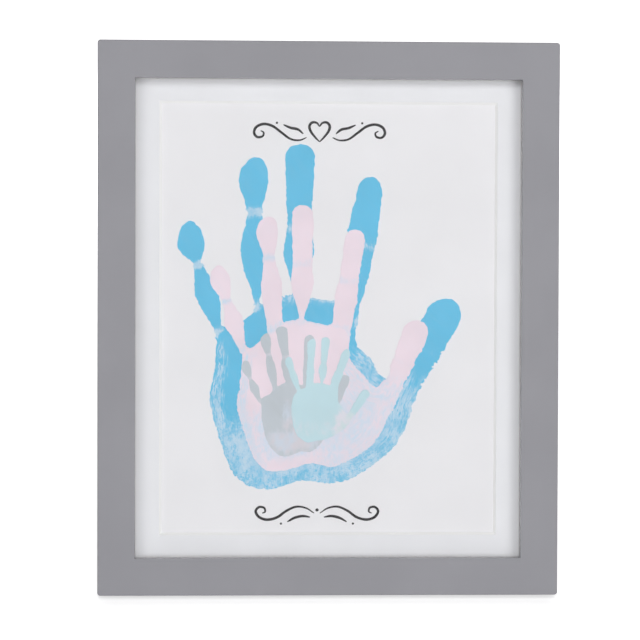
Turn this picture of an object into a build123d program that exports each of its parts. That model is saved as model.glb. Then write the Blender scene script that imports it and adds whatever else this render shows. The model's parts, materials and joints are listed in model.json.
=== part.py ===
from build123d import *
import os
from math import cos, radians, sin, tan

# A portrait picture frame that shows a family's painted handprints. Four mitred rails hold a
# stack of glass, window mat, printed sheet, filler and back panel, which turn buttons lock in.
# A hinged leg on the back panel props the frame up on a table, and a sawtooth hanger takes a nail.
#
# Every piece is made with the frame upright: X runs across, Y from the front face to the back,
# Z up from the bottom edge. stand_up() leans the finished pieces back onto the open leg.
# Lengths are in millimetres and angles in degrees.

# Moulding
FRAME_WIDTH = 254.0
FRAME_HEIGHT = 305.0
RAIL_WIDTH = 20.5
RABBET_WIDTH = 7.7
LIP_THICKNESS = 5.0
CORNER_RADIUS = 1.6
FRONT_EDGE_RADIUS = 0.7
BACK_EDGE_RADIUS = 0.6
SIGHT_EDGE_RADIUS = 0.35

# Stack that lies in the rabbet, from the front
RABBET_CLEARANCE = 0.4
GLASS_THICKNESS = 2.0
MAT_THICKNESS = 1.4
MAT_BEVEL_ANGLE = 45.0
MAT_MARGIN_SIDE = 13.0
MAT_MARGIN_END = 12.0
SHEET_OVERLAP = 9.0
SHEET_THICKNESS = 0.3
FILLER_THICKNESS = 3.3
PANEL_THICKNESS = 3.0
PANEL_EDGE_CHAMFER = 0.4

# Painted handprints: the film's thickness, and how far the largest print stays from the window
PAINT_THICKNESS = 0.12
PRINT_MARGIN_END = 23.6
PRINT_MARGIN_SIDE = 9.0
# Each hand's size and the place of its heel from the sheet's middle, as shares of the largest
# print's length, and its turn to the right. All else is in shares of the hand's own length,
# across and up from its heel: points round the edge of the palm, from the little finger down, and
# for each finger its root, its tip, its half width, how much of that width prints at the root, the
# lower pad and the top joint, and how far along the finger that joint lies.
HANDS = {
    "large_handprint": {
        "size": 1.0,
        "heel": (-0.08, -0.495),
        "turn": 0.0,
        "palm": (
            (-0.238, 0.452), (-0.25, 0.35), (-0.263, 0.25), (-0.222, 0.1), (-0.175, 0.022), (-0.095, -0.003),
            (0.005, 0.022), (0.1, 0.015), (0.185, 0.05), (0.275, 0.125), (0.314, 0.222), (0.262, 0.304),
            (0.226, 0.338), (0.207, 0.374), (0.18, 0.399), (0.163, 0.417), (0.158, 0.46), (0.156, 0.53),
            (0.062, 0.55), (-0.062, 0.56), (-0.17, 0.488),
        ),
        "fingers": {
            "little": ((-0.238, 0.452), (-0.338, 0.773), 0.0395, (0.28, 0.84, 0.33), 0.622),
            "ring": ((-0.128, 0.52), (-0.141, 0.964), 0.0425, (0.15, 1.0, 0.53), 0.64),
            "middle": ((-0.008, 0.54), (-0.004, 1.003), 0.0425, (0.2, 1.02, 0.82), 0.47),
            "index": ((0.136, 0.484), (0.207, 0.908), 0.038, (0.62, 1.03, 1.16), 0.53),
            "thumb": ((0.275, 0.24), (0.441, 0.55), 0.0515, (0.88, 0.78, 0.93), 0.54),
        },
    },
    "medium_handprint": {
        "size": 0.745,
        "heel": (-0.073, -0.42),
        "turn": 0.5,
        "palm": (
            (-0.236, 0.44), (-0.249, 0.32), (-0.259, 0.22), (-0.226, 0.1), (-0.178, -0.005), (-0.1, -0.037),
            (0.03, -0.004), (0.116, -0.014), (0.206, 0.024), (0.28, 0.084), (0.328, 0.175), (0.346, 0.27),
            (0.321, 0.324), (0.281, 0.299), (0.226, 0.352), (0.178, 0.412), (0.166, 0.52), (0.06, 0.545),
            (-0.06, 0.556), (-0.135, 0.503), (-0.172, 0.477), (-0.2085, 0.447),
        ),
        "fingers": {
            "little": ((-0.24, 0.44), (-0.351, 0.764), 0.0385, (0.35, 0.95, 0.42), 0.58),
            "ring": ((-0.117, 0.52), (-0.156, 0.962), 0.043, (0.7, 0.94, 0.5), 0.635),
            "middle": ((-0.01, 0.545), (-0.012, 1.007), 0.042, (0.2, 1.04, 0.92), 0.51),
            "index": ((0.143, 0.51), (0.199, 0.916), 0.0395, (0.9, 1.12, 0.95), 0.5),
            "thumb": ((0.323, 0.23), (0.454, 0.561), 0.0505, (0.66, 0.68, 0.83), 0.5),
        },
    },
    "small_handprint": {
        "size": 0.375,
        "heel": (-0.11, -0.4),
        "turn": -2.0,
        "palm": (
            (-0.205, 0.445), (-0.211, 0.35), (-0.208, 0.25), (-0.176, 0.12), (-0.118, 0.033),
            (-0.035, -0.007), (0.07, 0.026), (0.17, 0.03), (0.245, 0.095), (0.27, 0.2), (0.226, 0.29),
            (0.15, 0.39), (0.13, 0.53), (0.05, 0.555), (-0.04, 0.562), (-0.144, 0.488),
        ),
        "fingers": {
            "little": ((-0.222, 0.43), (-0.34, 0.745), 0.038, (0.28, 0.9, 0.36), 0.58),
            "ring": ((-0.098, 0.51), (-0.172, 0.956), 0.042, (0.42, 0.86, 0.46), 0.63),
            "middle": ((0.012, 0.53), (-0.038, 1.007), 0.044, (0.5, 0.92, 0.62), 0.5),
            "index": ((0.143, 0.52), (0.183, 0.937), 0.041, (0.72, 0.92, 0.8), 0.5),
            "thumb": ((0.25, 0.14), (0.456, 0.616), 0.04, (0.5, 0.62, 0.92), 0.62),
        },
    },
    "baby_handprint": {
        "size": 0.305,
        "heel": (-0.035, -0.36),
        "turn": 7.0,
        "palm": (
            (-0.25, 0.45), (-0.272, 0.36), (-0.268, 0.25), (-0.21, 0.08), (-0.115, -0.008), (0.0, 0.008),
            (0.09, 0.04), (0.19, 0.1), (0.265, 0.18), (0.285, 0.25), (0.24, 0.32), (0.165, 0.41),
            (0.14, 0.53), (0.06, 0.555), (-0.06, 0.56), (-0.165, 0.5),
        ),
        "fingers": {
            "little": ((-0.232, 0.48), (-0.377, 0.77), 0.0375, (0.55, 0.9, 0.76), 0.6),
            "ring": ((-0.127, 0.505), (-0.163, 0.977), 0.04, (0.9, 0.92, 0.8), 0.5),
            "middle": ((-0.016, 0.535), (-0.03, 1.004), 0.0405, (0.14, 1.0, 0.68), 0.49),
            "index": ((0.096, 0.515), (0.189, 0.915), 0.039, (0.9, 1.1, 0.9), 0.5),
            "thumb": ((0.25, 0.2), (0.428, 0.553), 0.042, (0.55, 0.7, 0.92), 0.6),
        },
    },
}
# Where each finger starts behind its root, so that it joins the palm, where its lower pad is widest
# on the way to the top joint, and where its tip reaches nearly full width
ROOT_OVERLAP = 0.12
LOWER_PAD_PLACE = 0.62
FINGERTIP_PLACE = 0.74
FINGERTIP_SHARE = 0.96

# Steel fasteners driven across each mitre from the back
V_NAIL_WING = 3.8
V_NAIL_THICKNESS = 0.7
V_NAIL_HEIGHT = 7.0
V_NAIL_SINK = 0.2
V_NAIL_OUTER_WALL = 3.0
V_NAIL_INNER_WALL = 1.6
V_NAILS_PER_CORNER = 2

# Turn buttons and their screws
BUTTON_REACH = 17.0
BUTTON_PIVOT_RADIUS = 4.5
BUTTON_TIP_RADIUS = 3.4
BUTTON_THICKNESS = 1.0
BUTTON_GAP = 0.15
BUTTON_DIMPLE_RADIUS = 2.0
BUTTON_DIMPLE_HEIGHT = 0.7
SIDE_BUTTON_INSET = 77.5
END_BUTTON_INSET = 57.0
SCREW_RADIUS = 1.5
SCREW_LENGTH = 9.0
SCREW_HEAD_RADIUS = 3.0
SCREW_HEAD_HEIGHT = 1.7
SCREW_RECESS_LENGTH = 3.4
SCREW_RECESS_WIDTH = 0.7
SCREW_RECESS_DEPTH = 1.0
RUNNING_CLEARANCE = 0.08
HOLE_CLEARANCE = 0.03

# Sawtooth hanger and its nails
HANGER_LENGTH = 44.0
HANGER_HEIGHT = 9.0
HANGER_THICKNESS = 0.8
HANGER_RISE = 2.0
HANGER_BRIDGE = 23.0
HANGER_RAMP = 2.4
HANGER_END_RADIUS = 2.6
HANGER_TOOTH_PITCH = 2.4
HANGER_TOOTH_DEPTH = 1.6
HANGER_TEETH = 8
NAIL_SPACING = 35.0
NAIL_RADIUS = 0.8
NAIL_LENGTH = 9.0
NAIL_HEAD_RADIUS = 2.2
NAIL_HEAD_HEIGHT = 0.9

# Soft bumpers that rest on the wall, a little past the folded leg
BUMPER_RADIUS = 4.8
BUMPER_PAST_LEG = 0.4
BUMPER_ROUND = 1.6
BUMPER_INSET = 24.0

# Fold-out leg
LEAN_ANGLE = 15.0
LEG_OPENING = 29.0
HINGE_HEIGHT = 195.0
LEG_THICKNESS = 3.2
LEG_TOP_WIDTH = 40.0
LEG_FOOT_WIDTH = 68.0
LEG_TOP_RADIUS = 6.0
LEG_ARCH_WIDTH = 27.0
LEG_ARCH_HEIGHT = 7.5
LEG_EDGE_RADIUS = 0.5
LEG_GAP = 0.4

# Strap hinge that joins the leg to the back panel
PIN_RADIUS = 1.0
PIN_HEAD_RADIUS = 1.5
PIN_HEAD_LENGTH = 0.8
PIN_CLEARANCE = 0.05
KNUCKLE_RADIUS = 2.0
KNUCKLE_GAP = 0.2
LEAF_THICKNESS = 0.8
LEAF_CORNER_RADIUS = 2.0
PANEL_LEAF_WIDTH = 34.0
PANEL_LEAF_HEIGHT = 21.0
LEG_LEAF_WIDTH = 16.0
LEG_LEAF_LENGTH = 32.0
STOP_LENGTH = 8.5
STOP_GAP = 0.15
RIVET_RADIUS = 1.4
RIVET_HEAD_RADIUS = 2.7
RIVET_HEAD_HEIGHT = 0.9
PANEL_RIVET_SPACING = 22.0
PANEL_RIVET_HEIGHT = 14.0
LEG_RIVET_FIRST = 9.5
LEG_RIVET_PITCH = 14.5

# Sizes that follow from the ones above
GLASS_FRONT = LIP_THICKNESS
MAT_FRONT = GLASS_FRONT + GLASS_THICKNESS
SHEET_FRONT = MAT_FRONT + MAT_THICKNESS
FILLER_FRONT = SHEET_FRONT + SHEET_THICKNESS
PANEL_FRONT = FILLER_FRONT + FILLER_THICKNESS
RAIL_DEPTH = PANEL_FRONT + PANEL_THICKNESS
SIGHT_WIDTH = FRAME_WIDTH - 2 * RAIL_WIDTH
SIGHT_HEIGHT = FRAME_HEIGHT - 2 * RAIL_WIDTH
RABBET_INSIDE_WIDTH = SIGHT_WIDTH + 2 * RABBET_WIDTH
RABBET_INSIDE_HEIGHT = SIGHT_HEIGHT + 2 * RABBET_WIDTH
STACK_WIDTH = RABBET_INSIDE_WIDTH - 2 * RABBET_CLEARANCE
STACK_HEIGHT = RABBET_INSIDE_HEIGHT - 2 * RABBET_CLEARANCE
MAT_BEVEL = MAT_THICKNESS * tan(radians(MAT_BEVEL_ANGLE))
WINDOW_WIDTH = SIGHT_WIDTH - 2 * (MAT_MARGIN_SIDE + MAT_BEVEL)
WINDOW_HEIGHT = SIGHT_HEIGHT - 2 * (MAT_MARGIN_END + MAT_BEVEL)
SHEET_WIDTH = WINDOW_WIDTH + 2 * SHEET_OVERLAP
SHEET_HEIGHT = WINDOW_HEIGHT + 2 * SHEET_OVERLAP
LARGEST_FINGERS = HANDS["large_handprint"]["fingers"]
THUMB_REACH = LARGEST_FINGERS["thumb"][1][0] + LARGEST_FINGERS["thumb"][2]
LITTLE_REACH = LARGEST_FINGERS["little"][2] - LARGEST_FINGERS["little"][1][0]
LARGEST_PRINT = min(
    WINDOW_HEIGHT - 2 * PRINT_MARGIN_END,
    (WINDOW_WIDTH - 2 * PRINT_MARGIN_SIDE) / (THUMB_REACH + LITTLE_REACH),
)
RAIL_BACK_WIDTH = RAIL_WIDTH - RABBET_WIDTH
MIDDLE = FRAME_HEIGHT / 2
BUTTON_FRONT = RAIL_DEPTH + BUTTON_GAP
PIN_Y = RAIL_DEPTH + KNUCKLE_RADIUS + KNUCKLE_GAP
LEG_FRONT = RAIL_DEPTH + LEG_GAP
LEG_BACK = LEG_FRONT + LEG_THICKNESS
LEG_TOP = HINGE_HEIGHT - KNUCKLE_RADIUS - 3 * KNUCKLE_GAP
BUMPER_HEIGHT = LEG_BACK + LEAF_THICKNESS + RIVET_HEAD_HEIGHT + BUMPER_PAST_LEG - RAIL_DEPTH
HINGE_AXIS = Axis((0, PIN_Y, HINGE_HEIGHT), (1, 0, 0))

# Screws, nails and buttons stand along Y: this plane's normal points out of the back
BACKWARD = Plane(origin=(0, 0, 0), x_dir=(1, 0, 0), z_dir=(0, 1, 0))
# Sheet-metal side profiles are drawn with Y across and Z up, and extruded along X
SIDEWAYS = Plane(origin=(0, 0, 0), x_dir=(0, 1, 0), z_dir=(1, 0, 0))


def rod(radius, start, length):
    """A round bar along Y, from start."""
    return extrude(BACKWARD.offset(start) * Circle(radius), length)


def slab(width, height, front, thickness):
    """A flat board in the rabbet, centred on the frame."""
    return Pos(0, front + thickness / 2, MIDDLE) * Box(width, thickness, height)


def side_profile(points, half_width):
    """Sheet metal with this outline in Y and Z, that far to each side of the middle."""
    return extrude(SIDEWAYS * make_face(Polyline(*points, close=True)), half_width, both=True)


def domed_head(radius, start, height):
    """A round head with a rounded rim, along Y."""
    head = rod(radius, start, height)
    rim = head.edges().filter_by(GeomType.CIRCLE).sort_by(Axis.Y)[-1]
    return fillet(rim, min(0.6 * height, 0.45 * radius))


# Frame rails

def frame_ring():
    """The whole moulding before it is parted at the mitres."""
    ring = Pos(0, RAIL_DEPTH / 2, MIDDLE) * Box(FRAME_WIDTH, RAIL_DEPTH, FRAME_HEIGHT)
    ring = fillet(ring.edges().filter_by(Axis.Y), CORNER_RADIUS)
    ring = fillet(ring.faces().sort_by(Axis.Y)[0].edges(), FRONT_EDGE_RADIUS)
    ring = fillet(ring.faces().sort_by(Axis.Y)[-1].edges(), BACK_EDGE_RADIUS)
    ring -= slab(SIGHT_WIDTH, SIGHT_HEIGHT, 0, RAIL_DEPTH)
    ring -= slab(RABBET_INSIDE_WIDTH, RABBET_INSIDE_HEIGHT, LIP_THICKNESS, RAIL_DEPTH)
    sight_edges = ring.faces().sort_by(Axis.Y)[0].inner_wires()[0].edges()
    return fillet(sight_edges, SIGHT_EDGE_RADIUS)


def mitre_wedge(corners):
    """The space that one rail takes of the ring, seen from the front."""
    outline = Plane.XZ * make_face(Polyline(*corners, close=True))
    return extrude(outline, 2 * RAIL_DEPTH, both=True)


def rails():
    """The four rails, parted at the mitres, with the slots and holes that their fasteners fill."""
    left, right, bottom, top = -FRAME_WIDTH / 2, FRAME_WIDTH / 2, 0, FRAME_HEIGHT
    cut = 1.5 * RAIL_WIDTH
    inner = {
        "bottom_left": (left + cut, bottom + cut),
        "bottom_right": (right - cut, bottom + cut),
        "top_left": (left + cut, top - cut),
        "top_right": (right - cut, top - cut),
    }
    corners = {
        "top_rail": ((left, top), (right, top), inner["top_right"], inner["top_left"]),
        "bottom_rail": ((left, bottom), (right, bottom), inner["bottom_right"], inner["bottom_left"]),
        "left_rail": ((left, bottom), (left, top), inner["top_left"], inner["bottom_left"]),
        "right_rail": ((right, bottom), (right, top), inner["top_right"], inner["bottom_right"]),
    }
    ring = frame_ring()
    for place in button_places():
        hole = rod(SCREW_RADIUS + HOLE_CLEARANCE, RAIL_DEPTH - SCREW_LENGTH, SCREW_LENGTH)
        ring -= Pos(place["x"], 0, place["z"]) * hole
    for x in nail_places():
        hole = rod(NAIL_RADIUS + HOLE_CLEARANCE, RAIL_DEPTH - NAIL_LENGTH, NAIL_LENGTH)
        ring -= Pos(x, 0, hanger_middle()) * hole
    slots = v_nails(V_NAIL_SINK)
    return {name: (ring & mitre_wedge(shape)) - slots for name, shape in corners.items()}


def v_nails(sink=0.0):
    """Bent strips across each mitre, apex to the outer corner. sink lengthens them to the back."""
    nails = []
    front = RAIL_DEPTH - V_NAIL_SINK - V_NAIL_HEIGHT
    height = V_NAIL_HEIGHT + sink
    room = RAIL_BACK_WIDTH - V_NAIL_OUTER_WALL - V_NAIL_WING - V_NAIL_INNER_WALL
    from_corner = (Align.MIN, Align.MIN, Align.MIN)
    bent = Box(V_NAIL_WING, height, V_NAIL_THICKNESS, align=from_corner)
    bent += Box(V_NAIL_THICKNESS, height, V_NAIL_WING, align=from_corner)
    for x_side in (-1, 1):
        for z_side in (-1, 1):
            for count in range(V_NAILS_PER_CORNER):
                apex = V_NAIL_OUTER_WALL + room * count / max(1, V_NAILS_PER_CORNER - 1)
                nail = Pos(-FRAME_WIDTH / 2 + apex, front, apex - MIDDLE) * bent
                if x_side > 0:
                    nail = mirror(nail, about=Plane.YZ)
                if z_side > 0:
                    nail = mirror(nail, about=Plane.XY)
                nails.append(Pos(0, 0, MIDDLE) * nail)
    return nails


# Stack in the rabbet

def mat_board():
    """A window mat whose opening is cut back at a bevel, so that its core shows from the front."""
    board = slab(STACK_WIDTH, STACK_HEIGHT, MAT_FRONT, MAT_THICKNESS)
    back = BACKWARD.offset(SHEET_FRONT) * Pos(0, -MIDDLE)
    window = back * Rectangle(WINDOW_WIDTH, WINDOW_HEIGHT)
    return board - extrude(window, -MAT_THICKNESS, taper=-MAT_BEVEL_ANGLE)


def back_panel():
    """The removable back, with holes for the hinge's rivets."""
    panel = slab(STACK_WIDTH, STACK_HEIGHT, PANEL_FRONT, PANEL_THICKNESS)
    panel = chamfer(panel.faces().sort_by(Axis.Y)[-1].edges(), PANEL_EDGE_CHAMFER)
    for x in panel_rivet_places():
        hole = rod(RIVET_RADIUS + HOLE_CLEARANCE, PANEL_FRONT, PANEL_THICKNESS)
        panel -= Pos(x, 0, HINGE_HEIGHT + PANEL_RIVET_HEIGHT) * hole
    return panel


# Handprints

def on_hand(hand, point):
    """A point given as shares of the hand's length, in X and Z from the sheet's middle."""
    across, up = point[0] * hand["size"], point[1] * hand["size"]
    turn = radians(hand["turn"])
    x = hand["heel"][0] + across * cos(turn) + up * sin(turn)
    z = hand["heel"][1] - across * sin(turn) + up * cos(turn)
    return x * LARGEST_PRINT, z * LARGEST_PRINT


def pad(start, start_radius, end, end_radius):
    """The outline round two discs, as a finger's pad prints."""
    discs = [Pos(*start) * Circle(start_radius), Pos(*end) * Circle(end_radius)]
    return make_hull(discs[0].edges() + discs[1].edges())


def finger_print(hand, finger):
    """One finger: a lower pad, narrow at the root and at the top joint, and a long fingertip."""
    root, tip, half_width, (root_share, pad_share, joint_share), joint = hand["fingers"][finger]
    half_width *= hand["size"] * LARGEST_PRINT
    root, tip = (Vector(*on_hand(hand, point)) for point in (root, tip))
    along = tip - root
    discs = [
        (root - along * ROOT_OVERLAP, root_share),
        (root + along * joint * LOWER_PAD_PLACE, pad_share),
        (root + along * joint, joint_share),
        (root + along * FINGERTIP_PLACE, FINGERTIP_SHARE),
        (tip - along.normalized() * half_width, 1.0),
    ]
    outline = Sketch()
    for (start, start_share), (end, end_share) in zip(discs, discs[1:]):
        outline += pad(start, start_share * half_width, end, end_share * half_width)
    return outline


def handprint(hand, layer):
    """One hand's paint film. Each later print lies one layer further from the sheet."""
    edge = Spline(*[on_hand(hand, point) for point in hand["palm"]], periodic=True)
    outline = make_face(edge)
    for finger in hand["fingers"]:
        outline += finger_print(hand, finger)
    front = SHEET_FRONT - (layer + 1) * PAINT_THICKNESS
    return Pos(0, front, MIDDLE) * extrude(Plane.XZ * outline, -PAINT_THICKNESS)


# Turn buttons

def button_places():
    """Each button's name, its screw's place, and the turn that points it at the panel."""
    half = RAIL_BACK_WIDTH / 2
    side_x, side_z = FRAME_WIDTH / 2 - half, MIDDLE - SIDE_BUTTON_INSET
    end_x, end_z = FRAME_WIDTH / 2 - END_BUTTON_INSET, MIDDLE - half
    return [
        {"name": "left_upper", "x": -side_x, "z": MIDDLE + side_z, "turn": 0},
        {"name": "left_lower", "x": -side_x, "z": MIDDLE - side_z, "turn": 0},
        {"name": "right_upper", "x": side_x, "z": MIDDLE + side_z, "turn": 180},
        {"name": "right_lower", "x": side_x, "z": MIDDLE - side_z, "turn": 180},
        {"name": "top_left", "x": -end_x, "z": MIDDLE + end_z, "turn": 90},
        {"name": "top_right", "x": end_x, "z": MIDDLE + end_z, "turn": 90},
        {"name": "bottom_left", "x": -end_x, "z": MIDDLE - end_z, "turn": -90},
        {"name": "bottom_right", "x": end_x, "z": MIDDLE - end_z, "turn": -90},
    ]


def turn_button(place):
    """A stamped plate that swivels on its screw, with a pressed dimple for the finger."""
    tip = BUTTON_REACH - BUTTON_TIP_RADIUS
    outline = pad((0, 0), BUTTON_PIVOT_RADIUS, (tip, 0), BUTTON_TIP_RADIUS)
    plate = extrude(BACKWARD * outline, BUTTON_THICKNESS)
    plate -= rod(SCREW_RADIUS + RUNNING_CLEARANCE, 0, BUTTON_THICKNESS)
    dimple = rod(BUTTON_DIMPLE_RADIUS, BUTTON_THICKNESS, BUTTON_DIMPLE_HEIGHT)
    rim = dimple.edges().filter_by(GeomType.CIRCLE).sort_by(Axis.Y)[-1]
    plate += Pos(tip, 0, 0) * fillet(rim, 0.9 * BUTTON_DIMPLE_HEIGHT)
    return Pos(place["x"], BUTTON_FRONT, place["z"]) * Rot(0, place["turn"], 0) * plate


def button_screw(place):
    """A pan-head screw with a cross recess, its shank in the rail and through the button."""
    under_head = BUTTON_FRONT + BUTTON_THICKNESS + BUTTON_GAP
    start = RAIL_DEPTH - SCREW_LENGTH
    screw = rod(SCREW_RADIUS, start, under_head - start)
    screw += domed_head(SCREW_HEAD_RADIUS, under_head, SCREW_HEAD_HEIGHT)
    recess_middle = under_head + SCREW_HEAD_HEIGHT - SCREW_RECESS_DEPTH / 2
    for turn in (45, 135):
        blade = Box(SCREW_RECESS_LENGTH, SCREW_RECESS_DEPTH, SCREW_RECESS_WIDTH)
        screw -= Pos(0, recess_middle, 0) * Rot(0, turn + place["turn"] / 3, 0) * blade
    return Pos(place["x"], 0, place["z"]) * screw


# Wall hanging

def hanger_middle():
    """How high the hanger's middle line is on the top rail."""
    return FRAME_HEIGHT - RAIL_BACK_WIDTH / 2


def nail_places():
    return (-NAIL_SPACING / 2, NAIL_SPACING / 2)


def sawtooth_hanger():
    """A bent strip whose raised middle has teeth along its lower edge."""
    end, foot, crest = HANGER_LENGTH / 2, HANGER_BRIDGE / 2 + HANGER_RAMP, HANGER_BRIDGE / 2
    path = [(-end, 0), (-foot, 0), (-crest, HANGER_RISE), (crest, HANGER_RISE), (foot, 0), (end, 0)]
    outer = [(x, y + HANGER_THICKNESS) for x, y in reversed(path)]
    strip = extrude(make_face(Polyline(*path, *outer, close=True)), HANGER_HEIGHT / 2, both=True)
    blank = BACKWARD * RectangleRounded(HANGER_LENGTH, HANGER_HEIGHT, HANGER_END_RADIUS)
    strip &= extrude(blank, HANGER_RISE + HANGER_THICKNESS)
    low, half_pitch = -HANGER_HEIGHT / 2, HANGER_TOOTH_PITCH / 2
    corners = [(-half_pitch, low), (0, low + HANGER_TOOTH_DEPTH), (half_pitch, low)]
    outline = Plane.XZ * make_face(Polyline(*corners, close=True))
    notch = extrude(outline, -(HANGER_RISE + HANGER_THICKNESS))
    for count in range(HANGER_TEETH):
        strip -= Pos((count - (HANGER_TEETH - 1) / 2) * HANGER_TOOTH_PITCH, 0, 0) * notch
    for x in nail_places():
        strip -= Pos(x, 0, 0) * rod(NAIL_RADIUS + HOLE_CLEARANCE, 0, HANGER_THICKNESS)
    return Pos(0, RAIL_DEPTH, hanger_middle()) * strip


def hanger_nail(x):
    start = RAIL_DEPTH - NAIL_LENGTH
    under_head = RAIL_DEPTH + HANGER_THICKNESS
    nail = rod(NAIL_RADIUS, start, under_head - start)
    nail += domed_head(NAIL_HEAD_RADIUS, under_head, NAIL_HEAD_HEIGHT)
    return Pos(x, 0, hanger_middle()) * nail


def bumper_places():
    return (BUMPER_INSET - FRAME_WIDTH / 2, FRAME_WIDTH / 2 - BUMPER_INSET)


def wall_bumper(x):
    bumper = rod(BUMPER_RADIUS, RAIL_DEPTH, BUMPER_HEIGHT)
    rim = bumper.edges().filter_by(GeomType.CIRCLE).sort_by(Axis.Y)[-1]
    return Pos(x, 0, RAIL_BACK_WIDTH / 2) * fillet(rim, BUMPER_ROUND)


# Leg and hinge

def panel_rivet_places():
    return (-PANEL_RIVET_SPACING / 2, PANEL_RIVET_SPACING / 2)


def leg_rivet_heights():
    """How high the leg's two rivets are with the leg folded flat."""
    return [HINGE_HEIGHT - LEG_RIVET_FIRST - count * LEG_RIVET_PITCH for count in range(2)]


def barrel(radius, half_width):
    """A solid round bar on the hinge's axis."""
    middle = Pos(0, PIN_Y, HINGE_HEIGHT)
    return middle * extrude(SIDEWAYS * Circle(radius), half_width, both=True)


def hinge_panel_leaf():
    """The fixed leaf: a plate on the panel with a rolled knuckle at each side."""
    half, inner = PANEL_LEAF_WIDTH / 2, LEG_LEAF_WIDTH / 2 + KNUCKLE_GAP
    plate = Pos(0, RAIL_DEPTH, HINGE_HEIGHT + PANEL_LEAF_HEIGHT / 2) * Box(
        PANEL_LEAF_WIDTH, LEAF_THICKNESS, PANEL_LEAF_HEIGHT, align=(Align.CENTER, Align.MIN, Align.CENTER)
    )
    upper_corners = plate.edges().filter_by(Axis.Y).group_by(Axis.Z)[-1]
    plate = fillet(upper_corners, LEAF_CORNER_RADIUS)
    leaf = plate + barrel(KNUCKLE_RADIUS, half)
    clear = KNUCKLE_RADIUS + 2 * KNUCKLE_GAP
    room = Pos(0, PIN_Y, HINGE_HEIGHT) * Box(2 * inner, 4 * KNUCKLE_RADIUS, 2 * clear)
    leaf -= room
    leaf -= barrel(PIN_RADIUS + PIN_CLEARANCE, half)
    for x in panel_rivet_places():
        hole = rod(RIVET_RADIUS + HOLE_CLEARANCE, RAIL_DEPTH, LEAF_THICKNESS)
        leaf -= Pos(x, 0, HINGE_HEIGHT + PANEL_RIVET_HEIGHT) * hole
    return leaf


def hinge_pin():
    half = PANEL_LEAF_WIDTH / 2
    pin = barrel(PIN_RADIUS, half)
    head = barrel(PIN_HEAD_RADIUS, PIN_HEAD_LENGTH / 2)
    for side in (-1, 1):
        pin += Pos(side * (half + PIN_HEAD_LENGTH / 2), 0, 0) * head
    return pin


def panel_rivet(x):
    rivet = rod(RIVET_RADIUS, PANEL_FRONT, PANEL_THICKNESS + LEAF_THICKNESS)
    rivet += domed_head(RIVET_HEAD_RADIUS, RAIL_DEPTH + LEAF_THICKNESS, RIVET_HEAD_HEIGHT)
    return Pos(x, 0, HINGE_HEIGHT + PANEL_RIVET_HEIGHT) * rivet


def opened(shape):
    """Swings a piece of the folded leg out to where it stands."""
    return shape.rotate(HINGE_AXIS, LEG_OPENING)


def hinge_leg_leaf():
    """The moving leaf: a strap down the leg, a middle knuckle, and a tongue that stops the leg."""
    outside = LEG_BACK + LEAF_THICKNESS
    low, bend = HINGE_HEIGHT - LEG_LEAF_LENGTH, LEG_TOP + KNUCKLE_GAP
    half = LEG_LEAF_WIDTH / 2
    wrap = PIN_Y + (PIN_RADIUS + KNUCKLE_RADIUS) / 2
    strap = side_profile(
        [
            (LEG_BACK, low),
            (outside, low),
            (outside, bend + LEAF_THICKNESS / 2),
            (wrap + LEAF_THICKNESS / 2, HINGE_HEIGHT + LEAF_THICKNESS / 2),
            (wrap - LEAF_THICKNESS / 2, HINGE_HEIGHT),
            (LEG_BACK, bend),
        ],
        half,
    )
    lower_corners = strap.edges().filter_by(Axis.Y).group_by(Axis.Z)[0]
    strap = fillet(lower_corners, LEAF_CORNER_RADIUS)
    for z in leg_rivet_heights():
        strap -= Pos(0, 0, z) * rod(RIVET_RADIUS + HOLE_CLEARANCE, LEG_BACK, LEAF_THICKNESS)
    leaf = opened(strap + barrel(KNUCKLE_RADIUS, half))
    stop_front = RAIL_DEPTH + LEAF_THICKNESS + STOP_GAP
    stop = Box(
        LEG_LEAF_WIDTH - 2 * KNUCKLE_GAP,
        LEAF_THICKNESS,
        STOP_LENGTH,
        align=(Align.CENTER, Align.MIN, Align.MIN),
    )
    stop = Pos(0, stop_front, HINGE_HEIGHT + PIN_RADIUS) * stop
    stop = fillet(stop.edges().filter_by(Axis.Y).group_by(Axis.Z)[-1], LEAF_CORNER_RADIUS)
    leaf += stop
    return leaf - barrel(PIN_RADIUS + PIN_CLEARANCE, half)


def leg_rivet(z):
    rivet = rod(RIVET_RADIUS, LEG_FRONT, LEG_THICKNESS + LEAF_THICKNESS)
    rivet += domed_head(RIVET_HEAD_RADIUS, LEG_BACK + LEAF_THICKNESS, RIVET_HEAD_HEIGHT)
    return opened(Pos(0, 0, z) * rivet)


def floor_plane():
    """The table top, while the frame is still upright: it touches the rounded lower back edge."""
    lean = radians(LEAN_ANGLE)
    y = RAIL_DEPTH - BACK_EDGE_RADIUS + BACK_EDGE_RADIUS * sin(lean)
    z = BACK_EDGE_RADIUS - BACK_EDGE_RADIUS * cos(lean)
    return Plane(origin=(0, y, z), x_dir=(1, 0, 0), z_dir=(0, -sin(lean), cos(lean)))


def foot_distance():
    """How far the middle of the leg runs from the hinge's axis to the table."""
    floor = floor_plane()
    out = radians(LEG_OPENING)
    down = Vector(0, sin(out), -cos(out))
    to_floor = (floor.origin - Vector(0, PIN_Y, HINGE_HEIGHT)).dot(floor.z_dir)
    return to_floor / down.dot(floor.z_dir)


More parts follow.
